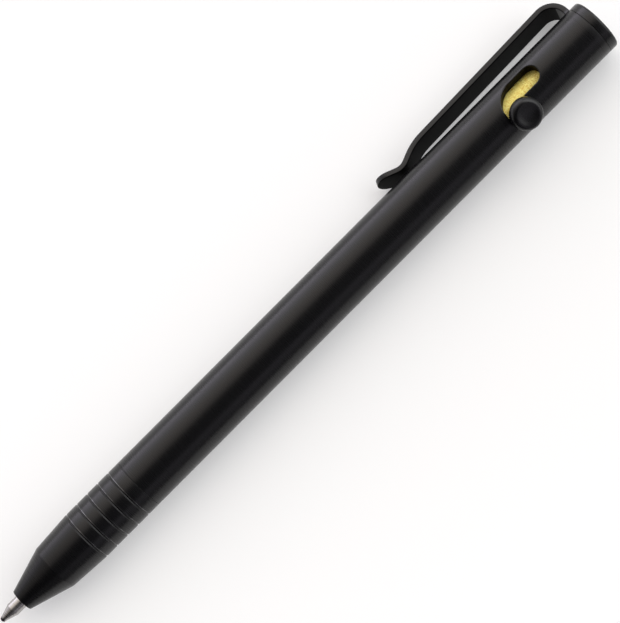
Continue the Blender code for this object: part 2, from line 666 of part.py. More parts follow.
def make_refill(materials, parent):
    pieces = (
        ("refill_tip", tip_outline(), "nickel_silver"),
        ("tip_holder", holder_outline(), "clear_plastic"),
        ("refill_tube", tube_outline(), "clear_plastic"),
        ("refill_rear_plug", rear_plug_outline(), "grey_plastic"),
    )
    for name, outline, material in pieces:
        add_object(name, turned_mesh(name, outline, FINE_STEPS), materials[material], parent)


def make_ball(materials, parent):
    bm = bmesh.new()
    bmesh.ops.create_uvsphere(bm, u_segments=BALL_STEPS, v_segments=BALL_STEPS // 2, radius=BALL_RADIUS)
    add_object("writing_ball", finish_mesh(bm, "writing_ball"), materials["carbide"], parent)


def make_spring(materials, parent):
    """The return spring between the barrel's front pocket and the refill's shoulder, one unbroken wire."""
    room_start = SPRING_POCKET_START + SEAT_GAP + SPRING_WIRE / 2
    room_end = HOLDER_SHOULDER - TIP_REACH - SEAT_GAP - SPRING_WIRE / 2
    curve = bpy.data.curves.new("return_spring", "CURVE")
    curve.dimensions = "3D"
    curve.bevel_depth = SPRING_WIRE / 2
    curve.bevel_resolution = 1
    curve.use_fill_caps = True
    count = round(SPRING_TURNS * SPRING_POINTS_PER_TURN) + 1
    spline = curve.splines.new("POLY")
    spline.points.add(count - 1)
    for i, point in enumerate(spline.points):
        share = i / (count - 1)
        place = Vector((room_start + (room_end - room_start) * share, 0, 0))
        place += outward(2 * math.pi * SPRING_TURNS * share) * SPRING_RADIUS
        point.co = (*place, 1)
    pitch = (room_end - room_start) / SPRING_TURNS
    slope = math.atan2(pitch, 2 * math.pi * SPRING_RADIUS)
    print(f"return spring: {pitch * math.cos(slope) - SPRING_WIRE:.5f} m between its turns")
    add_object("return_spring", curve, materials["spring_wire"], parent)


def make_materials():
    return {
        "black_anodised": make_material("black_anodised", (0.030, 0.029, 0.031), 0.36, 0.55),
        "black_spring_steel": make_material("black_spring_steel", (0.030, 0.029, 0.031), 0.40, 0.55),
        "brass": make_material("brass", (0.80, 0.58, 0.25), 0.30, 1.0),
        "nickel_silver": make_material("nickel_silver", (0.62, 0.60, 0.56), 0.25, 1.0),
        "carbide": make_material("carbide", (0.16, 0.16, 0.17), 0.20, 1.0),
        "clear_plastic": make_material("clear_plastic", (0.78, 0.80, 0.80), 0.35, 0.0),
        "grey_plastic": make_material("grey_plastic", (0.45, 0.46, 0.47), 0.45, 0.0),
        "spring_wire": make_material("spring_wire", (0.60, 0.60, 0.61), 0.25, 1.0),
    }


def main():
    clear_scene()
    materials = make_materials()
    axis = make_empty("pen_axis", (-PEN_MIDDLE, PEN_SHIFT, BARREL_RADIUS))
    refill_slide = make_empty("refill_slide", (0, 0, 0), axis)
    bolt_turn = make_empty("bolt_turn", (0, 0, 0), refill_slide)
    ball_centre = make_empty("ball_centre", (BALL_PLACE, 0, 0), refill_slide)
    make_front_section(materials, axis)
    make_barrel(materials, axis)
    make_clip(materials, axis)
    make_end_cap(materials, axis)
    make_spring(materials, axis)
    make_plunger(materials, bolt_turn)
    make_knob(materials, bolt_turn)
    make_refill(materials, refill_slide)
    make_ball(materials, ball_centre)


main()
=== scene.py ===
# %% [markdown]
# A bolt action pen: a turned black metal body, a bolt knob in a hooked slot, a bent clip, and a refill
# with its tip out. The CAD model is a fixed frame that holds sizes, places and joints. This script dresses
# it: finer meshes for the pieces that show, and finishes made of shader nodes.

# %% Load the frame
import json
import math

import bmesh
import bpy
from mathutils import Matrix, Vector


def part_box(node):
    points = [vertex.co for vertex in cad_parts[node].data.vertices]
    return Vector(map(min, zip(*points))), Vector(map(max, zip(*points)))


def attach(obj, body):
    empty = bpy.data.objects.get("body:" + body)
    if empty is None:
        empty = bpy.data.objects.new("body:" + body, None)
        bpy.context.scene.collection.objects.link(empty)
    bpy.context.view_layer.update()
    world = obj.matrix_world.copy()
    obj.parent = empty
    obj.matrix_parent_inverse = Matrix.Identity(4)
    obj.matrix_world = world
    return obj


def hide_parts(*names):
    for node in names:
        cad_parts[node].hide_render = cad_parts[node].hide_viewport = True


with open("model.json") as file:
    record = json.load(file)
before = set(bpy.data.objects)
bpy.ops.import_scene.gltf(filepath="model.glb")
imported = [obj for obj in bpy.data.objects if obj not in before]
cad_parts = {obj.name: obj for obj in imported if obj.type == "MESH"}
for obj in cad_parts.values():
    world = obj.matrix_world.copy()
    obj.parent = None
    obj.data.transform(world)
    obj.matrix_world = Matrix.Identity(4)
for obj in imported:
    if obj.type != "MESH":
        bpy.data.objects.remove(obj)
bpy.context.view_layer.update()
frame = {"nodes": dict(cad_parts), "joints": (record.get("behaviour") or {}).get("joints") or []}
MM = 0.001

# %% [markdown]
# The pen's axis, its main radius and the angles of knob, track and clip could be typed in. They are read
# from the frame instead, so the finer pieces can't drift from the CAD. An angle around the pen is counted
# from straight up towards +Y.

# %% Places read from the frame
cap_low, cap_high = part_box("end_cap")
AXIS = Vector((0, (cap_low.y + cap_high.y) / 2, (cap_low.z + cap_high.z) / 2))
BARREL_RADIUS = (cap_high.z - cap_low.z) / 2


def angle_of(node):
    """The angle around the pen at which a node's points lie, on the average."""
    points = frame["nodes"][node].data.vertices
    middle = sum((point.co for point in points), Vector()) / len(points) - AXIS
    return math.atan2(middle.y, middle.z)


turn = next(joint for joint in frame["joints"] if joint["name"] == "bolt_turn")
LEG_TURN = math.radians(turn["range_deg"][1])
CLIP_TO_TRACK = math.radians(90.0)
REST_ANGLE = angle_of("bolt_knob")
TRACK_ANGLE = REST_ANGLE + LEG_TURN
CLIP_ANGLE = TRACK_ANGLE + CLIP_TO_TRACK
STEM_X = turn["pos_m"][0]
NOSE_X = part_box("front_section")[0].x
BARREL_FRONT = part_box("barrel")[0].x
BARREL_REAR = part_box("barrel")[1].x
PLUNGER_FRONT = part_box("plunger")[0].x
PLUNGER_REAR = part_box("plunger")[1].x
PEN_REAR = cap_high.x
POINT_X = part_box("writing_ball")[0].x


def outward(angle):
    """The direction that points out of the pen at this angle around it."""
    return Vector((0, math.sin(angle), math.cos(angle)))


def sideways(angle):
    """The direction square to outward, towards growing angles."""
    return Vector((0, math.cos(angle), -math.sin(angle)))


print("barrel radius:", round(BARREL_RADIUS / MM, 3), "mm")
print("knob at:", round(math.degrees(REST_ANGLE), 2), "degrees")

# %% [markdown]
# Nearly every piece of a pen like this is turned on a lathe, so its shape is one outline spun about an
# axis. The Screw modifier could spin it. Mesh code does it here, because it closes an outline that reaches
# the axis with a single point. A lathe never leaves a perfect corner, so a helper rounds each corner by its
# own small radius: it is the rounded edges that catch the light.

# %% Helpers for turned pieces
SHARP_ANGLE = math.radians(50.0)
ROUND_STEP = math.radians(18.0)
MERGE_DISTANCE = 0.00002 * MM
FLAT_FACE_WEIGHT = 80


def rounded(corners):
    """An outline through (along, out, radius) corners, each rounded by an arc of that radius."""
    outline = []
    for i, (along, out, radius) in enumerate(corners):
        here = Vector((along, out))
        if radius == 0 or i in (0, len(corners) - 1):
            outline.append((along, out))
            continue
        to_last = (Vector(corners[i - 1][:2]) - here).normalized()
        to_next = (Vector(corners[i + 1][:2]) - here).normalized()
        half = to_last.angle(to_next) / 2
        centre = here + (to_last + to_next).normalized() * (radius / math.sin(half))
        start = here + to_last * (radius / math.tan(half)) - centre
        swing = start.angle_signed(here + to_next * (radius / math.tan(half)) - centre)
        steps = max(1, round(abs(swing) / ROUND_STEP))
        for k in range(steps + 1):
            point = centre + Matrix.Rotation(-swing * k / steps, 2) @ start
            outline.append((point.x, max(0.0, point.y)))
    return outline


def finish_mesh(bm, name):
    """Welds, turns the faces outwards and shades round faces smooth."""
    bmesh.ops.remove_doubles(bm, verts=bm.verts[:], dist=MERGE_DISTANCE)
    bmesh.ops.recalc_face_normals(bm, faces=bm.faces[:])
    mesh = bpy.data.meshes.new(name)
    bm.to_mesh(mesh)
    bm.free()
    mesh.shade_smooth()
    mesh.set_sharp_from_angle(angle=SHARP_ANGLE)
    obj = bpy.data.objects.new(name, mesh)
    bpy.context.scene.collection.objects.link(obj)
    return obj


def turned(name, outline, steps, place=AXIS, lie=None):
    """Spins (along, out) points about the X axis, then turns the mesh by a matrix and puts it in place."""
    bm = bmesh.new()
    place = Matrix.Translation(place) @ (lie or Matrix.Identity(4))
    rings = []
    for along, out in outline:
        count = steps if out > 0 else 1
        ring = [outward(2 * math.pi * k / count) * out + Vector((along, 0, 0)) for k in range(count)]
        rings.append([bm.verts.new(place @ point) for point in ring])
    closed = outline[0][1] > 0
    for ring, following in zip(rings, rings[1:] + rings[:1] if closed else rings[1:]):
        for k in range(steps):
            if len(ring) == 1:
                corners = [ring[0], following[k], following[k - 1]]
            elif len(following) == 1:
                corners = [ring[k - 1], ring[k], following[0]]
            else:
                corners = [ring[k - 1], ring[k], following[k], following[k - 1]]
            bm.faces.new(corners)
    return finish_mesh(bm, name)


def settle(obj):
    """Applies an object's modifiers to its mesh."""
    bpy.context.view_layer.update()
    graph = bpy.context.evaluated_depsgraph_get()
    mesh = bpy.data.meshes.new_from_object(obj.evaluated_get(graph), depsgraph=graph)
    obj.modifiers.clear()
    obj.data = mesh
    mesh.name = obj.name


def combine(obj, other, operation):
    """Cuts or joins with another mesh, applies it and drops the helper."""
    modifier = obj.modifiers.new(operation, "BOOLEAN")
    modifier.operation = operation
    modifier.solver = "EXACT"
    modifier.object = other
    settle(obj)
    bpy.data.objects.remove(other)


def piece(obj, body, slot, *nodes):
    """Shades flat faces flat, gives a mesh its body and hides the nodes it stands for; slot is not used."""
    modifier = obj.modifiers.new("even shading", "WEIGHTED_NORMAL")
    modifier.keep_sharp = True
    modifier.weight = FLAT_FACE_WEIGHT
    settle(obj)
    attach(obj, body)
    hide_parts(*nodes)
    print(f"{obj.name}: {len(obj.data.polygons)} faces")


print("corner arcs in steps of", round(math.degrees(ROUND_STEP)), "degrees")

# %% [markdown]
# The front section is the piece that a hand holds: a steep nose cone, a slow taper and five grip grooves.
# It screws into the barrel, and the line between the two sits where a sixth groove would be. Grooves could
# be cut by Booleans, but a lathe makes them as part of the outline. So does this cell: a helper gives the
# corners of one groove, and a loop repeats it.

# %% Front section
AROUND = 192
NOSE_RADIUS = 2.00 * MM
NOSE_ROUND = 0.16 * MM
TIP_HOLE_RADIUS = 1.28 * MM
NOSE_CONE_LENGTH = 7.68 * MM
NOSE_CONE_RADIUS = 4.30 * MM
CONE_ROUND = 0.40 * MM
GRIP_TAPER_LENGTH = 7.02 * MM
TAPER_ROUND = 6.00 * MM
GROOVE_COUNT = 5
GROOVE_PITCH = 2.40 * MM
GROOVE_WIDTH = 0.36 * MM
GROOVE_FLAT = 0.12 * MM
GROOVE_DEPTH = 0.13 * MM
GROOVE_SETBACK = 0.07 * MM
GROOVE_LIP_ROUND = 0.13 * MM
GROOVE_BOTTOM_ROUND = 0.12 * MM
# The thin ring behind each groove that gets a lighter metallic colour as a painted highlight.
HIGHLIGHT_RING = 0.10 * MM
SEAM_BREAK = 0.04 * MM
EDGE_ROUND = 0.02 * MM
SPIGOT_ROUND = 0.16 * MM
FRONT_SPIGOT_RADIUS = 3.85 * MM
FRONT_SPIGOT_LENGTH = 6.50 * MM
BORE_RADIUS = 3.20 * MM
BORE_FROM_NOSE = 9.60 * MM
POCKET_RADIUS = 2.45 * MM
POCKET_FROM_NOSE = 4.45 * MM
TIGHT_SEAM = 0.01 * MM
BORE_START = NOSE_X + BORE_FROM_NOSE
POCKET_START = NOSE_X + POCKET_FROM_NOSE
FRONT_SEAM = BARREL_FRONT - TIGHT_SEAM
GROOVE_START = NOSE_X + NOSE_CONE_LENGTH + GRIP_TAPER_LENGTH + GROOVE_SETBACK + GROOVE_WIDTH / 2


def groove(centre):
    """One turned groove with sloping sides and soft lips, and the thin ring behind it that gets a painted
    highlight.
    """
    bottom = BARREL_RADIUS - GROOVE_DEPTH
    return [
        (centre - GROOVE_WIDTH / 2, BARREL_RADIUS, GROOVE_LIP_ROUND),
        (centre - GROOVE_FLAT / 2, bottom, GROOVE_BOTTOM_ROUND),
        (centre + GROOVE_FLAT / 2, bottom, GROOVE_BOTTOM_ROUND),
        (centre + GROOVE_WIDTH / 2, BARREL_RADIUS, GROOVE_LIP_ROUND),
        (centre + GROOVE_WIDTH / 2 + HIGHLIGHT_RING, BARREL_RADIUS, 0),
    ]


corners = [
    (NOSE_X, TIP_HOLE_RADIUS, 0),
    (NOSE_X, NOSE_RADIUS, NOSE_ROUND),
    (NOSE_X + NOSE_CONE_LENGTH, NOSE_CONE_RADIUS, CONE_ROUND),
    (NOSE_X + NOSE_CONE_LENGTH + GRIP_TAPER_LENGTH, BARREL_RADIUS, 0),
]
for i in range(GROOVE_COUNT):
    corners += groove(GROOVE_START + i * GROOVE_PITCH)
corners += [
    (FRONT_SEAM - SEAM_BREAK, BARREL_RADIUS, EDGE_ROUND),
    (FRONT_SEAM, BARREL_RADIUS - SEAM_BREAK, EDGE_ROUND),
    (FRONT_SEAM, FRONT_SPIGOT_RADIUS, 0),
    (FRONT_SEAM + FRONT_SPIGOT_LENGTH, FRONT_SPIGOT_RADIUS, SPIGOT_ROUND),
    (FRONT_SEAM + FRONT_SPIGOT_LENGTH, BORE_RADIUS, 0),
    (BORE_START, BORE_RADIUS, 0),
    (BORE_START - (BORE_RADIUS - POCKET_RADIUS) / 2, POCKET_RADIUS, 0),
    (POCKET_START, POCKET_RADIUS, 0),
    (POCKET_START, TIP_HOLE_RADIUS, 0),
]
front = turned("front_section_turned", rounded(corners), AROUND)
piece(front, "barrel", "black_anodised", "front_section")

# %% [markdown]
# The barrel is a tube with a hooked slot milled through one side. An end mill follows a straight track,
# then bends off across the barrel to the notch that holds the bolt. The slot could be a flat outline,
# extruded straight down, but its walls would then slant wherever it leaves the middle. This cutter is built
# as the mill leaves it: walls square to its travel, and a mouth that opens on a small arc, so that the
# slot's edge is softly broken.

# %% Slot cutter
SEAM_GAP = 0.05 * MM
REAR_BORE_RADIUS = 2.86 * MM
STEM_RADIUS = 1.40 * MM
SLOT_HALF_WIDTH = 1.68 * MM
SLOT_EDGE_BREAK = 0.20 * MM
TRACK_LENGTH = 3.56 * MM
LEG_BEND_RADIUS = 2.65 * MM
LEG_BEND = math.radians(75.0)
LEG_ROOM = 0.67 * MM
LEG_RAMP = 0.80 * MM
LEG_BEND_CENTRE = STEM_X - LEG_ROOM + LEG_BEND_RADIUS
LEG_BEND_ACROSS = LEG_BEND_RADIUS * math.sin(LEG_BEND)
TRACK_FRONT = LEG_BEND_CENTRE - LEG_BEND_RADIUS * math.cos(LEG_BEND)
TRACK_REAR = TRACK_FRONT + TRACK_LENGTH
NOTCH_ACROSS = BARREL_RADIUS * LEG_TURN
RAMP_ANGLE = math.atan2(LEG_RAMP, REAR_BORE_RADIUS * LEG_TURN)
NOTCH_WALL = STEM_X + (STEM_RADIUS + SEAM_GAP) / math.cos(RAMP_ANGLE)
OVERRUN = 0.60 * MM
MILL_STEPS = 24
EASE_STEPS = 4
LIP_STEPS = 4
LIP_SWING = math.radians(64.0)


def wall_point(place, across, radius, reach):
    """A point of the slot's wall. Across is measured around the barrel, from the track's middle on.

    The mill's own middle goes as far across as reach, and its walls stand square to the barrel there.
    """
    middle = min(max(across, 0), reach)
    angle = TRACK_ANGLE - middle / BARREL_RADIUS
    aside = across - middle
    up = math.sqrt(radius * radius - aside * aside)
    return AXIS + Vector((place, 0, 0)) + outward(angle) * up - sideways(angle) * aside


def track_slices(half):
    """The straight track, two half rounds with a run between, as (start, end, across) slices."""
    slices = []
    for i in range(2 * MILL_STEPS + 1):
        swing = math.pi * i / (2 * MILL_STEPS)
        bulge = half * math.sin(swing)
        slices.append((TRACK_FRONT - bulge, TRACK_REAR + bulge, -half * math.cos(swing)))
    return slices


def leg_slices(half):
    """The leg, which bends off the track's front end and runs across to the notch, as slices too."""
    notch_wall = NOTCH_WALL + half - SLOT_HALF_WIDTH

    def ramp(across):
        return notch_wall + LEG_RAMP * (1 - across / NOTCH_ACROSS)

    slices = []
    for i in range(EASE_STEPS):
        swing = (math.pi / 2 - LEG_BEND) * i / EASE_STEPS
        across = -half * math.cos(swing)
        slices.append((TRACK_FRONT - half * math.sin(swing), ramp(across), across))
    for i in range(MILL_STEPS + 1):
        swing = LEG_BEND * (1 - i / MILL_STEPS)
        across = LEG_BEND_ACROSS - (LEG_BEND_RADIUS + half) * math.sin(swing)
        slices.append((LEG_BEND_CENTRE - (LEG_BEND_RADIUS + half) * math.cos(swing), ramp(across), across))
    for i in range(MILL_STEPS + 1):
        swing = math.pi / 2 * i / MILL_STEPS
        across = NOTCH_ACROSS + half * math.sin(swing)
        start = STEM_X - LEG_ROOM - half * math.cos(swing)
        end = notch_wall - half * (1 - math.cos(swing))
        slices.append((start, end, across))
    return slices


def mouth_rings():
    """(radius, half width) pairs from inside the bore out through the slot's rounded mouth."""
    rings = [((REAR_BORE_RADIUS + SLOT_HALF_WIDTH) / 2, SLOT_HALF_WIDTH)]
    for i in range(LIP_STEPS + 1):
        swing = LIP_SWING * i / LIP_STEPS
        rise = SLOT_EDGE_BREAK * math.sin(swing) / math.sin(LIP_SWING)
        spread = SLOT_EDGE_BREAK * (1 - math.cos(swing)) / (1 - math.cos(LIP_SWING))
        rings.append((BARREL_RADIUS - SLOT_EDGE_BREAK + rise, SLOT_HALF_WIDTH + spread))
    (last_radius, last_half), (top_radius, top_half) = rings[-2:]
    more = OVERRUN / (top_radius - last_radius)
    rings[-1] = (top_radius + OVERRUN, top_half + (top_half - last_half) * more)
    return rings


def slot_cutter(name, slices_at, reach):
    """Skins the rings of the mouth into one closed cutter."""
    bm = bmesh.new()
    rows = []
    for radius, half in mouth_rings():
        slices = slices_at(half)
        front_side = [wall_point(x, across, radius, reach) for x, _, across in slices]
        rear_side = [wall_point(x, across, radius, reach) for _, x, across in reversed(slices)]
        rows.append([bm.verts.new(point) for point in front_side + rear_side])
    for row, following in zip(rows, rows[1:]):
        for i in range(len(row)):
            bm.faces.new((row[i - 1], row[i], following[i], following[i - 1]))
    count = len(rows[0])
    for row in (rows[0], rows[-1]):
        for i in range(count // 2 - 1):
            bm.faces.new((row[i], row[i + 1], row[count - 2 - i], row[count - 1 - i]))
    return finish_mesh(bm, name)


print("slot mouth:", round((SLOT_HALF_WIDTH + SLOT_EDGE_BREAK) * 2 / MM, 2), "mm wide")

# %% [markdown]
# The barrel itself is turned. Inside are four bores, one behind the other: for the front section's spigot,
# the refill, the plunger and the cap's spigot. It is spun as one closed outline and then cut twice, by the
# track's cutter and the leg's. One hooked cutter could do both, but two plain ones can't fold over
# themselves at the bend.

# %% Barrel
RUNNING_GAP = 0.08 * MM
SEAT_GAP = 0.10 * MM
CAP_BORE_RADIUS = 3.63 * MM
CAP_BORE_DEPTH = 3.20 * MM
PLUG_ROOM = 0.50 * MM
BOLT_TRAVEL = TRACK_REAR + SLOT_HALF_WIDTH - STEM_RADIUS - SEAM_GAP - STEM_X
REAR_BORE_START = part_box("refill_rear_plug")[1].x + BOLT_TRAVEL + PLUG_ROOM
front_bore = FRONT_SPIGOT_RADIUS + RUNNING_GAP
front_bore_end = FRONT_SEAM + FRONT_SPIGOT_LENGTH + SEAT_GAP
cap_bore_end = BARREL_REAR - CAP_BORE_DEPTH
corners = [
    (BARREL_FRONT, front_bore, 0),
    (BARREL_FRONT, BARREL_RADIUS - SEAM_BREAK, EDGE_ROUND),
    (BARREL_FRONT + SEAM_BREAK, BARREL_RADIUS, EDGE_ROUND),
    (BARREL_REAR, BARREL_RADIUS, 0),
    (BARREL_REAR, CAP_BORE_RADIUS, EDGE_ROUND),
    (cap_bore_end, CAP_BORE_RADIUS, 0),
    (cap_bore_end, REAR_BORE_RADIUS, 0),
    (REAR_BORE_START + BORE_RADIUS - REAR_BORE_RADIUS, REAR_BORE_RADIUS, 0),
    (REAR_BORE_START, BORE_RADIUS, 0),
    (front_bore_end, BORE_RADIUS, 0),
    (front_bore_end, front_bore, 0),
]
barrel = turned("barrel_turned", rounded(corners), AROUND)
combine(barrel, slot_cutter("track_cutter", track_slices, 0), "DIFFERENCE")
combine(barrel, slot_cutter("leg_cutter", leg_slices, NOTCH_ACROSS), "DIFFERENCE")
piece(barrel, "barrel", "black_anodised", "barrel")

# %% [markdown]
# The end cap is a button that screws into the barrel and traps the clip's eye. Only its disc shows. A
# bevelled cylinder would do, but the outline gives each edge its own round: a generous one at the rear,
# where a hand meets it, and hardly any at the seam, which closes to a hairline.

# %% End cap
FLANGE_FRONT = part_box("clip")[1].x + SEAM_GAP
CAP_EDGE_ROUND = 0.45 * MM
CAP_SEAM_ROUND = 0.04 * MM
CAP_SPIGOT_RADIUS = 3.55 * MM
CAP_SPIGOT_BREAK = 0.30 * MM
corners = [
    (cap_low.x, 0, 0),
    (cap_low.x, CAP_SPIGOT_RADIUS, CAP_SPIGOT_BREAK),
    (FLANGE_FRONT, CAP_SPIGOT_RADIUS, 0),
    (FLANGE_FRONT, BARREL_RADIUS, CAP_SEAM_ROUND),
    (PEN_REAR, BARREL_RADIUS, CAP_EDGE_ROUND),
    (PEN_REAR, 0, 0),
]
cap = turned("end_cap_turned", rounded(corners), AROUND)
piece(cap, "barrel", "black_anodised", "end_cap")

# %% [markdown]
# The clip is one strip of spring steel, bent over the end, dipped to a rounded bump that grips a pocket,
# and turned up at its tip. A curve modifier could bend a box, but it would stretch it at the bends. Here a
# flat bar is swept along its own middle line, which bends as steel does: evenly, on arcs. This cell walks
# that line.

# %% Clip path
CLIP_THICKNESS = 1.00 * MM
CLIP_WIDTH = 4.90 * MM
CLIP_CORNER_ROUND = 0.20 * MM
CLIP_CORNER_STEPS = 4
CLIP_CORNER_SHARE = 0.9
CLIP_BEND_RADIUS = 3.10 * MM
CLIP_RUN_HEIGHT = 7.90 * MM
CLIP_RUN_LENGTH = 27.60 * MM
CLIP_RUN_SLOPE = math.radians(1.46)
CLIP_SHOULDER_RADIUS = 10.00 * MM
CLIP_DIP_SLOPE = math.radians(23.3)
CLIP_BUMP_RADIUS = 2.50 * MM
CLIP_BUMP_GAP = 0.35 * MM
CLIP_RISE_SLOPE = math.radians(24.0)
CLIP_RISE_LENGTH = 4.05 * MM
CLIP_ROOT_DEPTH = 0.85 * MM
CLIP_END_ARC = math.radians(84.0)
# The CAD's coarser clip ends its round at this smaller arc, and the rise is measured to there.
CAD_END_ARC = math.radians(78.0)
CLIP_END_STEPS = 16
CLIP_BEND_STEP = math.radians(3.0)
CLIP_END_ROUND = CLIP_WIDTH / 2
EYE_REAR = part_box("clip")[1].x
EYE_FRONT = EYE_REAR - CLIP_THICKNESS


def walk(steps):
    """Points, headings and distances along (length, turn) steps from the clip's root, seen side on."""
    place = Vector(((EYE_FRONT + EYE_REAR) / 2, CLIP_RUN_HEIGHT - CLIP_BEND_RADIUS - CLIP_ROOT_DEPTH))
    heading = math.pi / 2
    passed = 0.0
    stations = [(place.copy(), heading, passed)]
    for length, bend in steps:
        pieces = 1 + round(abs(bend) / CLIP_BEND_STEP)
        for _ in range(pieces):
            half_turn = bend / pieces / 2
            chord = length / pieces * (math.sin(half_turn) / half_turn if half_turn else 1)
            along = heading + half_turn
            place = place + chord * Vector((math.cos(along), math.sin(along)))
            heading += bend / pieces
            passed += length / pieces
            stations.append((place.copy(), heading, passed))
    return stations


def clip_stations():
    """The middle line: over the top, along the barrel, down to the bump and up to the tip."""
    over = math.pi / 2 + CLIP_RUN_SLOPE
    down = CLIP_DIP_SLOPE - CLIP_RUN_SLOPE
    up = CLIP_DIP_SLOPE + CLIP_RISE_SLOPE
    shoulder_drop = CLIP_SHOULDER_RADIUS * (math.cos(CLIP_RUN_SLOPE) - math.cos(CLIP_DIP_SLOPE))
    bump_drop = CLIP_BUMP_RADIUS * (1 - math.cos(CLIP_DIP_SLOPE))
    run_drop = CLIP_RUN_LENGTH * math.sin(CLIP_RUN_SLOPE)
    bump_height = BARREL_RADIUS + CLIP_BUMP_GAP + CLIP_THICKNESS / 2
    slope_drop = CLIP_RUN_HEIGHT - run_drop - shoulder_drop - bump_drop - bump_height
    end_length = CLIP_END_ROUND * math.sin(CAD_END_ARC)
    steps = [
        (CLIP_ROOT_DEPTH, 0),
        (CLIP_BEND_RADIUS * over, over),
        (CLIP_RUN_LENGTH, 0),
        (CLIP_SHOULDER_RADIUS * down, down),
        (slope_drop / math.sin(CLIP_DIP_SLOPE), 0),
        (CLIP_BUMP_RADIUS * up, -up),
        (CLIP_RISE_LENGTH - end_length, 0),
    ]
    for i in range(1, CLIP_END_STEPS + 1):
        last, this = (CLIP_END_ARC * k / CLIP_END_STEPS for k in (i - 1, i))
        steps.append((CLIP_END_ROUND * (math.sin(this) - math.sin(last)), 0))
    return walk(steps)


stations = clip_stations()
print("clip strip:", round(stations[-1][2] / MM, 2), "mm along its middle")

# %% [markdown]
# A bar with rounded corners is skinned along the line, and narrows over its last stretch to a half round.
# The eye that the end cap traps is a flat ring. It is turned, and joined to the strip by a Boolean union,
# because on the real clip both are one sheet of steel.


# %% Clip
def clip_ring(place, heading, half_width):
    """The strip's cross-section: a flat bar with rounded corners."""
    normal = Vector((math.sin(heading), -math.cos(heading)))
    radius = min(CLIP_CORNER_ROUND, half_width * CLIP_CORNER_SHARE)
    ring = []
    for quarter in range(4):
        for k in range(CLIP_CORNER_STEPS + 1):
            swing = math.pi / 2 * (quarter + k / CLIP_CORNER_STEPS)
            side = 1 if quarter in (0, 3) else -1
            face = 1 if quarter < 2 else -1
            across = side * (half_width - radius) + radius * math.cos(swing)
            rise = face * (CLIP_THICKNESS / 2 - radius) + radius * math.sin(swing)
            along, out = place + normal * rise
            middle = AXIS + Vector((along, 0, 0))
            ring.append(middle + outward(CLIP_ANGLE) * out + sideways(CLIP_ANGLE) * across)
    return ring


def lofted(name, rings):
    """Skins a row of equal rings of points and closes both ends."""
    bm = bmesh.new()
    rows = [[bm.verts.new(point) for point in ring] for ring in rings]
    for row, following in zip(rows, rows[1:]):
        for i in range(len(row)):
            bm.faces.new((row[i - 1], row[i], following[i], following[i - 1]))
    bm.faces.new(rows[0])
    bm.faces.new(rows[-1])
    return finish_mesh(bm, name)


end = stations[-1][2]
round_start = end - CLIP_END_ROUND * math.sin(CLIP_END_ARC)
rings = []
for place, heading, passed in stations:
    into_round = max(0, passed - round_start)
    half_width = math.sqrt(CLIP_END_ROUND**2 - into_round**2)
    rings.append(clip_ring(place, heading, half_width))
clip = lofted("clip_bent", rings)
eye_seat = BARREL_REAR + TIGHT_SEAM
corners = [
    (eye_seat, CAP_BORE_RADIUS, 0),
    (EYE_REAR, CAP_BORE_RADIUS, 0),
    (EYE_REAR, BARREL_RADIUS, CAP_SEAM_ROUND),
    (eye_seat, BARREL_RADIUS, 0),
]
eye = turned("clip_eye", rounded(corners), AROUND)
combine(clip, eye, "UNION")
piece(clip, "barrel", "black_spring_steel", "clip")

# %% [markdown]
# The bolt is a brass plunger that slides in the bore, and a round button whose stem passes through the slot
# and screws into the plunger. The button has a generous rounded edge for the thumb and a shallow dish in
# its top. It could be a bevelled cylinder, but the dish and its soft lip need an outline, so it is turned
# like the rest and a matrix lays it across the pen.

# %% Bolt
FITTING_STEPS = 128
STEM_THREAD_RADIUS = 1.15 * MM
STEM_THREAD_DEPTH = 4.20 * MM
STEM_THREAD_BREAK = 0.15 * MM
PLUNGER_RADIUS = REAR_BORE_RADIUS - RUNNING_GAP
PLUNGER_BREAK = 0.30 * MM
KNOB_LIFT = 0.50 * MM
KNOB_HEIGHT = 1.95 * MM
KNOB_RADIUS = 2.75 * MM
KNOB_FOOT = BARREL_RADIUS + KNOB_LIFT
KNOB_TOP = KNOB_FOOT + KNOB_HEIGHT
KNOB_TOP_ROUND = 0.80 * MM
KNOB_FOOT_ROUND = 0.25 * MM
KNOB_DISH_RADIUS = 1.80 * MM
KNOB_DISH_DEPTH = 0.18 * MM
KNOB_DISH_SLOPE = 0.75 * MM
KNOB_LIP_ROUND = 1.20 * MM
KNOB_DISH_ROUND = 3.00 * MM
knob_lie = Matrix.Rotation(-REST_ANGLE, 4, "X") @ Matrix.Rotation(-math.pi / 2, 4, "Y")
stem_place = AXIS + Vector((STEM_X, 0, 0))
corners = [
    (PLUNGER_FRONT, 0, 0),
    (PLUNGER_FRONT, PLUNGER_RADIUS, PLUNGER_BREAK),
    (PLUNGER_REAR, PLUNGER_RADIUS, PLUNGER_BREAK),
    (PLUNGER_REAR, 0, 0),
]
plunger = turned("plunger_turned", rounded(corners), FITTING_STEPS)
hole_depth = PLUNGER_RADIUS - STEM_THREAD_DEPTH - SEAM_GAP
hole_radius = STEM_THREAD_RADIUS + SEAM_GAP
hole_top = PLUNGER_RADIUS + OVERRUN
hole = [(hole_depth, 0), (hole_depth, hole_radius), (hole_top, hole_radius), (hole_top, 0)]
combine(plunger, turned("stem_hole", hole, FITTING_STEPS, stem_place, knob_lie), "DIFFERENCE")
piece(plunger, "bolt", "brass", "plunger")

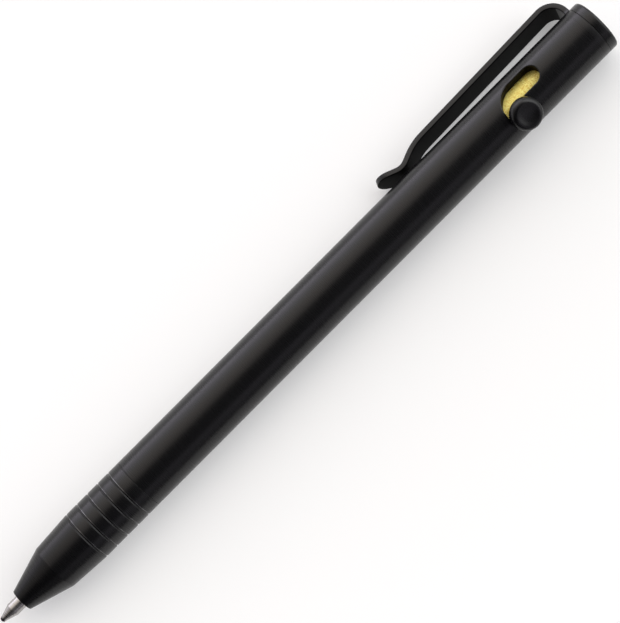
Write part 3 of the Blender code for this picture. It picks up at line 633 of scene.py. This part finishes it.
thread_end = PLUNGER_RADIUS - STEM_THREAD_DEPTH
stem_foot = PLUNGER_RADIUS + SEAM_GAP
corners = [
    (thread_end, 0, 0),
    (thread_end, STEM_THREAD_RADIUS, STEM_THREAD_BREAK),
    (stem_foot, STEM_THREAD_RADIUS, 0),
    (stem_foot, STEM_RADIUS, EDGE_ROUND),
    (KNOB_FOOT, STEM_RADIUS, EDGE_ROUND),
    (KNOB_FOOT, KNOB_RADIUS, KNOB_FOOT_ROUND),
    (KNOB_TOP, KNOB_RADIUS, KNOB_TOP_ROUND),
    (KNOB_TOP, KNOB_DISH_RADIUS, KNOB_LIP_ROUND),
    (KNOB_TOP - KNOB_DISH_DEPTH, KNOB_DISH_RADIUS - KNOB_DISH_SLOPE, KNOB_DISH_ROUND),
    (KNOB_TOP - KNOB_DISH_DEPTH, 0, 0),
]
knob = turned("bolt_knob_turned", rounded(corners), FITTING_STEPS, stem_place, knob_lie)
piece(knob, "bolt", "black_anodised", "bolt_knob")

# %% [markdown]
# The refill's tip is turned from nickel silver: a plain neck, a cone, and a thin rim spun over the ball so
# that it can't fall out but still rolls. The outline could stop at the rim, but it goes on round the
# socket, so that the ball sits in a real hollow.

# %% Refill tip
TIP_STEPS = 96
BALL_RADIUS = 0.35 * MM
BALL_GAP = 0.02 * MM
BALL_RIM = math.radians(25.0)
TIP_RADIUS = 1.20 * MM
TIP_CONE_LENGTH = 2.65 * MM
TIP_RIM_RADIUS = 0.42 * MM
TIP_RIM_ROUND = 0.03 * MM
TIP_CONE_ROUND = 0.25 * MM
TIP_LENGTH = 9.70 * MM
TIP_TAIL_RADIUS = 0.95 * MM
TIP_TAIL_LENGTH = 4.00 * MM
TIP_FEED_RADIUS = 0.50 * MM
TIP_CHANNEL_RADIUS = 0.15 * MM
TIP_CHANNEL_LENGTH = 1.30 * MM
SOCKET_STEPS = 12
SOCKET_START = math.radians(30.0)
socket_arc = math.pi / 2 + BALL_RIM - SOCKET_START
reach = BALL_RADIUS + BALL_GAP
socket = []
for i in range(SOCKET_STEPS + 1):
    swing = SOCKET_START + socket_arc * i / SOCKET_STEPS
    socket.append((POINT_X + BALL_RADIUS + reach * math.cos(swing), reach * math.sin(swing)))
channel = POINT_X + 2 * BALL_RADIUS + TIP_CHANNEL_RADIUS
corners = [
    (*socket[-1], 0),
    (POINT_X + BALL_RADIUS * (1 - math.sin(BALL_RIM)), TIP_RIM_RADIUS, TIP_RIM_ROUND),
    (POINT_X + TIP_CONE_LENGTH, TIP_RADIUS, TIP_CONE_ROUND),
    (POINT_X + TIP_LENGTH, TIP_RADIUS, EDGE_ROUND),
    (POINT_X + TIP_LENGTH, TIP_TAIL_RADIUS, 0),
    (POINT_X + TIP_LENGTH + TIP_TAIL_LENGTH, TIP_TAIL_RADIUS, 0),
    (POINT_X + TIP_LENGTH + TIP_TAIL_LENGTH, TIP_FEED_RADIUS, 0),
    (channel + TIP_CHANNEL_LENGTH + TIP_FEED_RADIUS, TIP_FEED_RADIUS, 0),
    (channel + TIP_CHANNEL_LENGTH, TIP_CHANNEL_RADIUS, 0),
    (channel, TIP_CHANNEL_RADIUS, 0),
]
tip = turned("refill_tip_turned", rounded(corners) + socket[:-1], TIP_STEPS)
piece(tip, "refill", "nickel_silver", "refill_tip")

# %% [markdown]
# Finishes next. Effects that several of them share could be copied into each material, but a node group
# with named inputs is built once and placed in each with its own values. There are three: lathe grain,
# handling and pits. All read the object's own coordinates, so they stay on the pieces as these move.


# %% Node helpers
def add_node(tree, kind, settings=None, values=None):
    """Adds a node, sets its options and its unlinked sockets."""
    node = tree.nodes.new(kind)
    for name, value in (settings or {}).items():
        setattr(node, name, value)
    for name, value in (values or {}).items():
        node.inputs[name].default_value = value
    return node


def new_group(name, inputs, outputs):
    """An empty node group whose sockets are all plain numbers, and its two end nodes."""
    group = bpy.data.node_groups.new(name, "ShaderNodeTree")
    for socket_name, value in inputs.items():
        entry = group.interface.new_socket(socket_name, in_out="INPUT", socket_type="NodeSocketFloat")
        entry.default_value = value
    for socket_name in outputs:
        group.interface.new_socket(socket_name, in_out="OUTPUT", socket_type="NodeSocketFloat")
    return group, group.nodes.new("NodeGroupInput"), group.nodes.new("NodeGroupOutput")


def fine_noise(group, place, per_mm, detail):
    """Noise with so many blotches per mm, and the same noise shifted so that zero is its middle."""
    per_metre = add_node(group, "ShaderNodeMath", {"operation": "MULTIPLY"}, {1: 1 / MM})
    group.links.new(per_mm, per_metre.inputs[0])
    noise = add_node(group, "ShaderNodeTexNoise", None, {"Detail": detail, "Roughness": 0.6})
    group.links.new(place, noise.inputs["Vector"])
    group.links.new(per_metre.outputs[0], noise.inputs["Scale"])
    centred = add_node(group, "ShaderNodeMath", {"operation": "SUBTRACT"}, {1: 0.5})
    group.links.new(noise.outputs["Fac"], centred.inputs[0])
    return noise.outputs["Fac"], centred.outputs[0]


# %% [markdown]
# A lathe tool leaves rings of tiny ridges around the piece. A wave texture could draw them, but its rings
# would all be alike. Noise that is drawn out around the axis gives rings that differ and break off, as
# tool marks do, and its value shades, roughens and raises the surface at once.

# %% Lathe grain group
RING_STRETCH = (1.0, 0.06, 0.06)


def make_lathe_grain():
    """Rings around the pen: noise that is drawn out around the axis."""
    inputs = {"Rings per mm": 18.0, "Roughness": 0.3, "Roughness spread": 0.05}
    group, start, end = new_group("lathe grain", inputs, ("Roughness", "Height", "Shade"))
    place = add_node(group, "ShaderNodeTexCoord")
    stretch = add_node(group, "ShaderNodeMapping", None, {"Scale": RING_STRETCH})
    group.links.new(place.outputs["Object"], stretch.inputs["Vector"])
    noise, centred = fine_noise(group, stretch.outputs["Vector"], start.outputs["Rings per mm"], 3.0)
    spread = add_node(group, "ShaderNodeMath", {"operation": "MULTIPLY_ADD"})
    group.links.new(centred, spread.inputs[0])
    group.links.new(start.outputs["Roughness spread"], spread.inputs[1])
    group.links.new(start.outputs["Roughness"], spread.inputs[2])
    group.links.new(spread.outputs[0], end.inputs["Roughness"])
    group.links.new(noise, end.inputs["Height"])
    group.links.new(noise, end.inputs["Shade"])
    return group


lathe_grain = make_lathe_grain()
print("group:", lathe_grain.name)

# %% [markdown]
# Skin oil and dust lie on a pen in soft blotches that change its gloss and hardly its colour. They could be
# painted as a mask, but noise needs no picture and covers every side, so it only moves the roughness.


# %% Handling group
def make_handling():
    """Soft blotches of skin oil and dust that change the gloss, not the colour."""
    inputs = {"Size": 90.0, "Roughness": 0.3, "Spread": 0.06}
    group, start, end = new_group("handling", inputs, ("Roughness",))
    place = add_node(group, "ShaderNodeTexCoord")
    softness = {"Detail": 4.0, "Roughness": 0.55, "Distortion": 0.4}
    noise = add_node(group, "ShaderNodeTexNoise", None, softness)
    group.links.new(place.outputs["Object"], noise.inputs["Vector"])
    group.links.new(start.outputs["Size"], noise.inputs["Scale"])
    mask = add_node(group, "ShaderNodeMapRange", None, {"From Min": 0.35, "From Max": 0.7})
    group.links.new(noise.outputs["Fac"], mask.inputs["Value"])
    spread = add_node(group, "ShaderNodeMath", {"operation": "MULTIPLY_ADD"})
    group.links.new(mask.outputs["Result"], spread.inputs[0])
    group.links.new(start.outputs["Spread"], spread.inputs[1])
    group.links.new(start.outputs["Roughness"], spread.inputs[2])
    group.links.new(spread.outputs[0], end.inputs["Roughness"])
    return group


handling = make_handling()
print("group:", handling.name)

# %% [markdown]
# Blasting with fine beads leaves specks in metal before it is coated. Real dents would need millions of
# faces, so noise stands for them. It is added to a shade and a height that come in, which lets the specks
# lie over the rings of the lathe grain.


# %% Pits group
def make_pits():
    """The fine specks of a blasted surface, added to a shade and a height that come in."""
    inputs = {"Pits per mm": 5.0, "Shade": 0.5, "Height": 0.5, "Depth": 0.5}
    group, start, end = new_group("pits", inputs, ("Shade", "Height"))
    place = add_node(group, "ShaderNodeTexCoord")
    _, centred = fine_noise(group, place.outputs["Object"], start.outputs["Pits per mm"], 2.0)
    deep = add_node(group, "ShaderNodeMath", {"operation": "MULTIPLY"})
    group.links.new(centred, deep.inputs[0])
    group.links.new(start.outputs["Depth"], deep.inputs[1])
    for name in ("Shade", "Height"):
        total = add_node(group, "ShaderNodeMath", {"operation": "ADD", "use_clamp": True})
        group.links.new(deep.outputs[0], total.inputs[0])
        group.links.new(start.outputs[name], total.inputs[1])
        group.links.new(total.outputs[0], end.inputs[name])
    return group


pits = make_pits()
print("group:", pits.name)

# %% [markdown]
# Every finish on the pen is built alike: a Principled shader whose two shades, roughness and bump come from
# the three groups. Each could be its own tree of nodes, but one builder with named values shows at a glance
# how the finishes differ. What is the same all over a surface is set on the shader's own sockets.

# %% Finish builder
BUMP_DISTANCE = 0.004 * MM


def new_material(name, constants):
    """A material with one Principled shader whose plain values are set on its own sockets."""
    material = bpy.data.materials.new(name)
    material.use_nodes = True
    shader = material.node_tree.nodes["Principled BSDF"]
    for socket_name, value in constants.items():
        shader.inputs[socket_name].default_value = value
    return material, material.node_tree, shader


def shared(tree, group, values):
    """Places a shared effect in a material with this material's own values."""
    return add_node(tree, "ShaderNodeGroup", {"node_tree": group}, values)


def finish(name, dark, light, constants, rings, roughness,
           spread=0.05, bump=0.3, smudge=0.05, specks=5.0, depth=0.3):
    """Two shades mixed by grain and specks, ringed and smudged roughness, and a faint bump."""
    material, tree, shader = new_material(name, constants)
    touched = shared(tree, handling, {"Roughness": roughness, "Spread": smudge})
    grain = shared(tree, lathe_grain, {"Rings per mm": rings, "Roughness spread": spread})
    tree.links.new(touched.outputs["Roughness"], grain.inputs["Roughness"])
    tree.links.new(grain.outputs["Roughness"], shader.inputs["Roughness"])
    speckled = shared(tree, pits, {"Pits per mm": specks, "Depth": depth})
    tree.links.new(grain.outputs["Shade"], speckled.inputs["Shade"])
    tree.links.new(grain.outputs["Height"], speckled.inputs["Height"])
    mix = add_node(tree, "ShaderNodeMix", {"data_type": "RGBA"})
    mix.inputs["A"].default_value = (*dark, 1.0)
    mix.inputs["B"].default_value = (*light, 1.0)
    tree.links.new(speckled.outputs["Shade"], mix.inputs["Factor"])
    tree.links.new(mix.outputs["Result"], shader.inputs["Base Color"])
    height = add_node(tree, "ShaderNodeBump", None, {"Strength": bump, "Distance": BUMP_DISTANCE})
    tree.links.new(speckled.outputs["Height"], height.inputs["Height"])
    tree.links.new(height.outputs["Normal"], shader.inputs["Normal"])
    return material


# %% [markdown]
# Black anodising is a thin glassy layer over blasted aluminium, so it is nearly all gloss and hardly any
# colour. One black could dress every dark piece, but here it comes in more than one version. On the top of
# each grip groove's rear lip and the thin ring behind it, a lighter metallic black is a painted highlight
# for the bright lines that the lips catch. On the slot's walls and inside the clip, a copy of the black with
# little specular and more roughness is painted shade. With the clip's steel, there are four blacks.

# %% Black finishes
BLACK = {"dark": (0.0012, 0.0012, 0.0015), "light": (0.0030, 0.0030, 0.0034)}
black = finish("black anodising", **BLACK, constants={"Specular IOR Level": 0.31},
               rings=6.0, roughness=0.26, spread=0.12, bump=0.20, smudge=0.04)
steel_black = finish("black spring steel", **BLACK, constants={"Specular IOR Level": 0.33},
                     rings=5.0, roughness=0.29, bump=0.20)
# A copy of the black with little specular and more roughness is painted shade for the slot's walls and the
# inside of the clip.
shaded_black = finish("shaded black", **BLACK, constants={"Specular IOR Level": 0.06},
                      rings=5.0, roughness=0.50, bump=0.30)
# A lighter metallic black is a painted highlight: the bright lines that the grooves' lips catch.
lip_highlight_black = finish("painted lip highlight", dark=(0.02, 0.02, 0.02), light=(0.24, 0.24, 0.245),
                    constants={"Metallic": 0.9}, rings=2.0, roughness=0.26, bump=0.20, specks=0.8, depth=1.6)
print("black finishes:", [black.name, steel_black.name, shaded_black.name, lip_highlight_black.name])

# %% [markdown]
# The brass is softly blasted, so it scatters light more as a matte thing does than as a mirror, and its
# Metallic value is low. The writing tip is bright drawn metal, and a little ink clings to its very end. That
# ink could be a piece of its own, but it is only a film, so it is a colour that fades out along X.

# %% Metals and plastics
INK = (0.010, 0.010, 0.012)
INK_LENGTH = 0.30 * MM
INK_FADE = 0.45 * MM


def stain(material, colour, start, fade):
    """Colours a material up to a place along X, and fades out past it."""
    tree = material.node_tree
    shader = tree.nodes["Principled BSDF"]
    plain = shader.inputs["Base Color"].links[0].from_socket
    place = add_node(tree, "ShaderNodeTexCoord")
    split = add_node(tree, "ShaderNodeSeparateXYZ")
    tree.links.new(place.outputs["Object"], split.inputs["Vector"])
    mask = add_node(tree, "ShaderNodeMapRange", None,
                    {"From Min": start, "From Max": start + fade, "To Min": 1.0, "To Max": 0.0})
    tree.links.new(split.outputs["X"], mask.inputs["Value"])
    mix = add_node(tree, "ShaderNodeMix", {"data_type": "RGBA"})
    mix.inputs["B"].default_value = (*colour, 1.0)
    tree.links.new(plain, mix.inputs["A"])
    tree.links.new(mask.outputs["Result"], mix.inputs["Factor"])
    tree.links.new(mix.outputs["Result"], shader.inputs["Base Color"])


brass = finish("brass", dark=(0.66, 0.42, 0.03), light=(1.0, 0.95, 0.33), constants={"Metallic": 0.15},
               rings=5.0, roughness=0.50, spread=0.12, bump=0.6, specks=4.5, depth=2.6)
silver = finish("nickel silver", dark=(0.31, 0.30, 0.29), light=(0.47, 0.455, 0.44),
                constants={"Metallic": 1.0}, rings=8.0, roughness=0.26, spread=0.10, bump=0.3)
stain(silver, INK, POINT_X + INK_LENGTH, INK_FADE)
carbide = finish("carbide", dark=(0.05, 0.05, 0.055), light=(0.10, 0.10, 0.11), constants={"Metallic": 1.0},
                 rings=12.0, roughness=0.18, bump=0.1)
wire = finish("spring wire", dark=(0.50, 0.50, 0.51), light=(0.68, 0.68, 0.69), constants={"Metallic": 1.0},
              rings=12.0, roughness=0.22, bump=0.2)
clear = finish("clear plastic", dark=(0.70, 0.73, 0.73), light=(0.82, 0.84, 0.84),
               constants={"Transmission Weight": 0.6, "IOR": 1.49}, rings=3.0, roughness=0.22, bump=0.1)
grey = finish("grey plastic", dark=(0.38, 0.39, 0.40), light=(0.48, 0.49, 0.50),
              constants={"IOR": 1.49}, rings=3.0, roughness=0.42, bump=0.1)
print("materials so far:", len(bpy.data.materials))

# %% [markdown]
# Three pieces have a second finish on part of their surface. The faces could be picked by hand, but then
# any change of size would undo the choice. A small test of each face's place and direction says where the
# second finish goes.

# %% Where the second finishes go
# How far the painted highlight reaches before a groove's rear edge and down its lip.
HIGHLIGHT_LIP = GROOVE_WIDTH / 6
HIGHLIGHT_DEPTH = GROOVE_LIP_ROUND / 16
FACES_BARREL = -0.5


def reach_of(centre):
    """How far a face lies from the pen's axis."""
    return math.hypot(centre.y - AXIS.y, centre.z - AXIS.z)


def is_highlight_ring(centre, normal):
    """The top of each grip groove's rear lip, and the ring behind it: where the painted highlight goes."""
    rear_edge = GROOVE_START + GROOVE_WIDTH / 2
    past_edge = (centre.x - rear_edge + GROOVE_PITCH / 2) % GROOVE_PITCH - GROOVE_PITCH / 2
    in_grip = GROOVE_START < centre.x < FRONT_SEAM - GROOVE_PITCH / 2
    on_ring = -HIGHLIGHT_LIP < past_edge < HIGHLIGHT_RING
    return in_grip and on_ring and reach_of(centre) > BARREL_RADIUS - HIGHLIGHT_DEPTH


def is_slot_wall(centre, normal):
    """The walls of the bolt's slot, between bore and outside, which get the painted shade."""
    at_slot = TRACK_FRONT - 2 * SLOT_HALF_WIDTH < centre.x < TRACK_REAR + 2 * SLOT_HALF_WIDTH
    return at_slot and REAR_BORE_RADIUS + SEAT_GAP < reach_of(centre) < BARREL_RADIUS - SLOT_EDGE_BREAK


def is_clip_inside(centre, normal):
    """The side of the clip that looks at the barrel, which gets the painted shade."""
    return centre.x < EYE_FRONT and normal.dot(outward(CLIP_ANGLE)) < FACES_BARREL


# %% [markdown]
# Each piece now gets its finish, and so do the CAD nodes that stay as they are: the ball, the spring and the
# refill's plastic. A table says which wears what, because it is easier to check than twelve separate lines
# of code.

# %% Dress the pieces
FINISHES = {
    front: black, barrel: black, cap: black, knob: black, clip: steel_black, plunger: brass, tip: silver,
    frame["nodes"]["writing_ball"]: carbide, frame["nodes"]["return_spring"]: wire,
    frame["nodes"]["refill_tube"]: clear, frame["nodes"]["tip_holder"]: clear,
    frame["nodes"]["refill_rear_plug"]: grey,
}
# The second finishes are a painted highlight on the grooves' lips, and painted shade in the slot and inside
# the clip.
SECOND_FINISHES = {
    front: (lip_highlight_black, is_highlight_ring),
    barrel: (shaded_black, is_slot_wall),
    clip: (shaded_black, is_clip_inside),
}
for obj, main_finish in FINISHES.items():
    obj.data.materials.clear()
    obj.data.materials.append(main_finish)
for obj, (second_finish, belongs) in SECOND_FINISHES.items():
    obj.data.materials.append(second_finish)
    chosen = [face for face in obj.data.polygons if belongs(face.center, face.normal)]
    for face in chosen:
        face.material_index = 1
    print(f"{second_finish.name}: {len(chosen)} faces of {obj.name}")
print("finishes:", len(FINISHES), "pieces")

# %% [markdown]
# The camera looks at the pen's slot side, square to its axis, with the pen rising to the right. It could be
# turned by eye, but it is built from the pen's own directions and from the number of pixels for each mm, so
# that the pen fills the picture as it should.

# %% Camera
CLIP_TO_CAMERA = math.radians(114.0)
CAMERA_DISTANCE = 0.380
PIXELS_PER_MM = 6.137
PEN_SLANT = math.radians(45.08)
IMAGE_WIDTH = 620
SENSOR = 36.0
TARGET_FROM_POINT = 71.2 * MM
CAMERA_TARGET = Vector((POINT_X + TARGET_FROM_POINT, AXIS.y, AXIS.z))
camera_angle = CLIP_ANGLE - CLIP_TO_CAMERA
back = outward(camera_angle)
pen_side = sideways(camera_angle)
right = Vector((1, 0, 0)) * math.cos(PEN_SLANT) - pen_side * math.sin(PEN_SLANT)
up = Vector((1, 0, 0)) * math.sin(PEN_SLANT) + pen_side * math.cos(PEN_SLANT)
camera_data = bpy.data.cameras.new("camera")
camera_data.sensor_width = SENSOR
camera_data.sensor_fit = "HORIZONTAL"
camera_data.lens = SENSOR * CAMERA_DISTANCE / (IMAGE_WIDTH / PIXELS_PER_MM * MM)
camera = bpy.data.objects.new("camera", camera_data)
place = Matrix((right, up, back)).transposed().to_4x4()
place.translation = CAMERA_TARGET + back * CAMERA_DISTANCE
camera.matrix_world = place
bpy.context.scene.collection.objects.link(camera)
bpy.context.scene.camera = camera
print("lens:", round(camera_data.lens, 1), "mm")

# %% [markdown]
# The pen lies on a plain pale floor. A backdrop of pure white could stand in for it, but it would lose the
# shadow that shows how the pen lies. The floor's own colour makes it nearly white under the light, a little
# extra is added only for the camera, reflections and glass, and the shadow stays.

# %% Floor
FLOOR_SIZE = 20.0
FLOOR_COLOUR = (0.65, 0.65, 0.65, 1.0)
FLOOR_LIFT = 0.30
half = FLOOR_SIZE / 2
floor_corners = [(-half, -half, 0), (half, -half, 0), (half, half, 0), (-half, half, 0)]
floor_mesh = bpy.data.meshes.new("floor")
floor_mesh.from_pydata(floor_corners, [], [(0, 1, 2, 3)])
floor = bpy.data.objects.new("floor", floor_mesh)
bpy.context.scene.collection.objects.link(floor)
floor_finish, tree, shader = new_material("pale floor", {"Roughness": 0.9, "Specular IOR Level": 0.0})
shader.inputs["Base Color"].default_value = FLOOR_COLOUR
shader.inputs["Emission Color"].default_value = (1.0, 1.0, 1.0, 1.0)
path = add_node(tree, "ShaderNodeLightPath")
seen = path.outputs["Is Camera Ray"]
for ray in ("Is Glossy Ray", "Is Transmission Ray"):
    either = add_node(tree, "ShaderNodeMath", {"operation": "MAXIMUM"})
    tree.links.new(seen, either.inputs[0])
    tree.links.new(path.outputs[ray], either.inputs[1])
    seen = either.outputs[0]
lift = add_node(tree, "ShaderNodeMath", {"operation": "MULTIPLY"}, {1: FLOOR_LIFT})
tree.links.new(seen, lift.inputs[0])
tree.links.new(lift.outputs[0], shader.inputs["Emission Strength"])
floor_mesh.materials.append(floor_finish)
print("floor:", FLOOR_SIZE, "m wide")

# %% [markdown]
# A glossy black body shows the room more than itself. Softbox lamps could light it, but a world drawn as a
# light tent gives the same soft bands with no lamp to place. Across the pen it is bright on the clip's side,
# dark overhead and dim on the other side. Towards the cap it is bright nearly all over, so that pale things
# are lit evenly, and towards the tip it is dim.

# %% Light tent
NEUTRAL = (1.0, 1.0, 1.0)
WARM = (1.09, 1.0, 0.93)
VIOLET = (1.04, 0.99, 1.10)
# Each stop is an angle in degrees from straight up towards +Y, a brightness and a tint.
TENT = [
    (-90, 0.12, NEUTRAL),
    (-62, 0.50, VIOLET),
    (-50, 0.60, VIOLET),
    (-45, 0.12, VIOLET),
    (-2, 0.10, NEUTRAL),
    (6, 0.35, WARM),
    (14, 1.05, WARM),
    (40, 1.90, WARM),
    (58, 2.40, NEUTRAL),
    (72, 3.00, VIOLET),
    (90, 4.50, VIOLET),
]
TENT_TOP = 5.0
CAP_END = (0.0, -0.4, 4.4)
CAP_END_LEAST = 0.5
CAP_FADE = (0.35, 0.60)
TIP_END = 0.30
TIP_FADE = (-0.55, 0.05)
world = bpy.data.worlds.new("light tent")
bpy.context.scene.world = world
world.use_nodes = True
tree = world.node_tree
sky = tree.nodes["Background"]
place = add_node(tree, "ShaderNodeTexCoord")
split = add_node(tree, "ShaderNodeSeparateXYZ")
tree.links.new(place.outputs["Generated"], split.inputs["Vector"])
around = add_node(tree, "ShaderNodeMath", {"operation": "ARCTAN2"})
tree.links.new(split.outputs["Y"], around.inputs[0])
tree.links.new(split.outputs["Z"], around.inputs[1])
share = add_node(tree, "ShaderNodeMapRange", None, {"From Min": -math.pi / 2, "From Max": math.pi / 2})
tree.links.new(around.outputs[0], share.inputs["Value"])
ramp = add_node(tree, "ShaderNodeValToRGB")
tree.links.new(share.outputs["Result"], ramp.inputs["Fac"])
stops = ramp.color_ramp.elements
while len(stops) < len(TENT):
    stops.new(0.5)
for stop, (angle, level, tint) in zip(stops, TENT):
    stop.position = (angle + 90) / 180
    stop.color = (*(Vector(tint) * level / TENT_TOP), 1.0)
to_tip = add_node(tree, "ShaderNodeMapRange", {"interpolation_type": "SMOOTHSTEP"},
                  {"From Min": TIP_FADE[0], "From Max": TIP_FADE[1], "To Min": TIP_END, "To Max": 1.0})
tree.links.new(split.outputs["X"], to_tip.inputs["Value"])
dimmed = add_node(tree, "ShaderNodeVectorMath", {"operation": "SCALE"})
tree.links.new(ramp.outputs["Color"], dimmed.inputs[0])
tree.links.new(to_tip.outputs["Result"], dimmed.inputs["Scale"])
to_cap = add_node(tree, "ShaderNodeMapRange", {"interpolation_type": "SMOOTHSTEP"},
                  {"From Min": CAP_FADE[0], "From Max": CAP_FADE[1]})
tree.links.new(split.outputs["X"], to_cap.inputs["Value"])
cap_slant = add_node(tree, "ShaderNodeVectorMath", {"operation": "DOT_PRODUCT"},
                     {1: Vector(CAP_END) / TENT_TOP})
tree.links.new(place.outputs["Generated"], cap_slant.inputs[0])
cap_glow = add_node(tree, "ShaderNodeMath", {"operation": "ADD", "use_clamp": True},
                    {1: CAP_END_LEAST / TENT_TOP})
tree.links.new(cap_slant.outputs["Value"], cap_glow.inputs[0])
tent = add_node(tree, "ShaderNodeMix", {"data_type": "RGBA"})
tree.links.new(cap_glow.outputs[0], tent.inputs["B"])
tree.links.new(dimmed.outputs["Vector"], tent.inputs["A"])
tree.links.new(to_cap.outputs["Result"], tent.inputs["Factor"])
tree.links.new(tent.outputs["Result"], sky.inputs["Color"])
sky.inputs["Strength"].default_value = TENT_TOP
print("tent:", len(TENT), "stops")

# %% [markdown]
# Last, the view transform is set to Standard, which shows colours about as they are written.

# %% View transform
bpy.context.scene.view_settings.view_transform = "Standard"
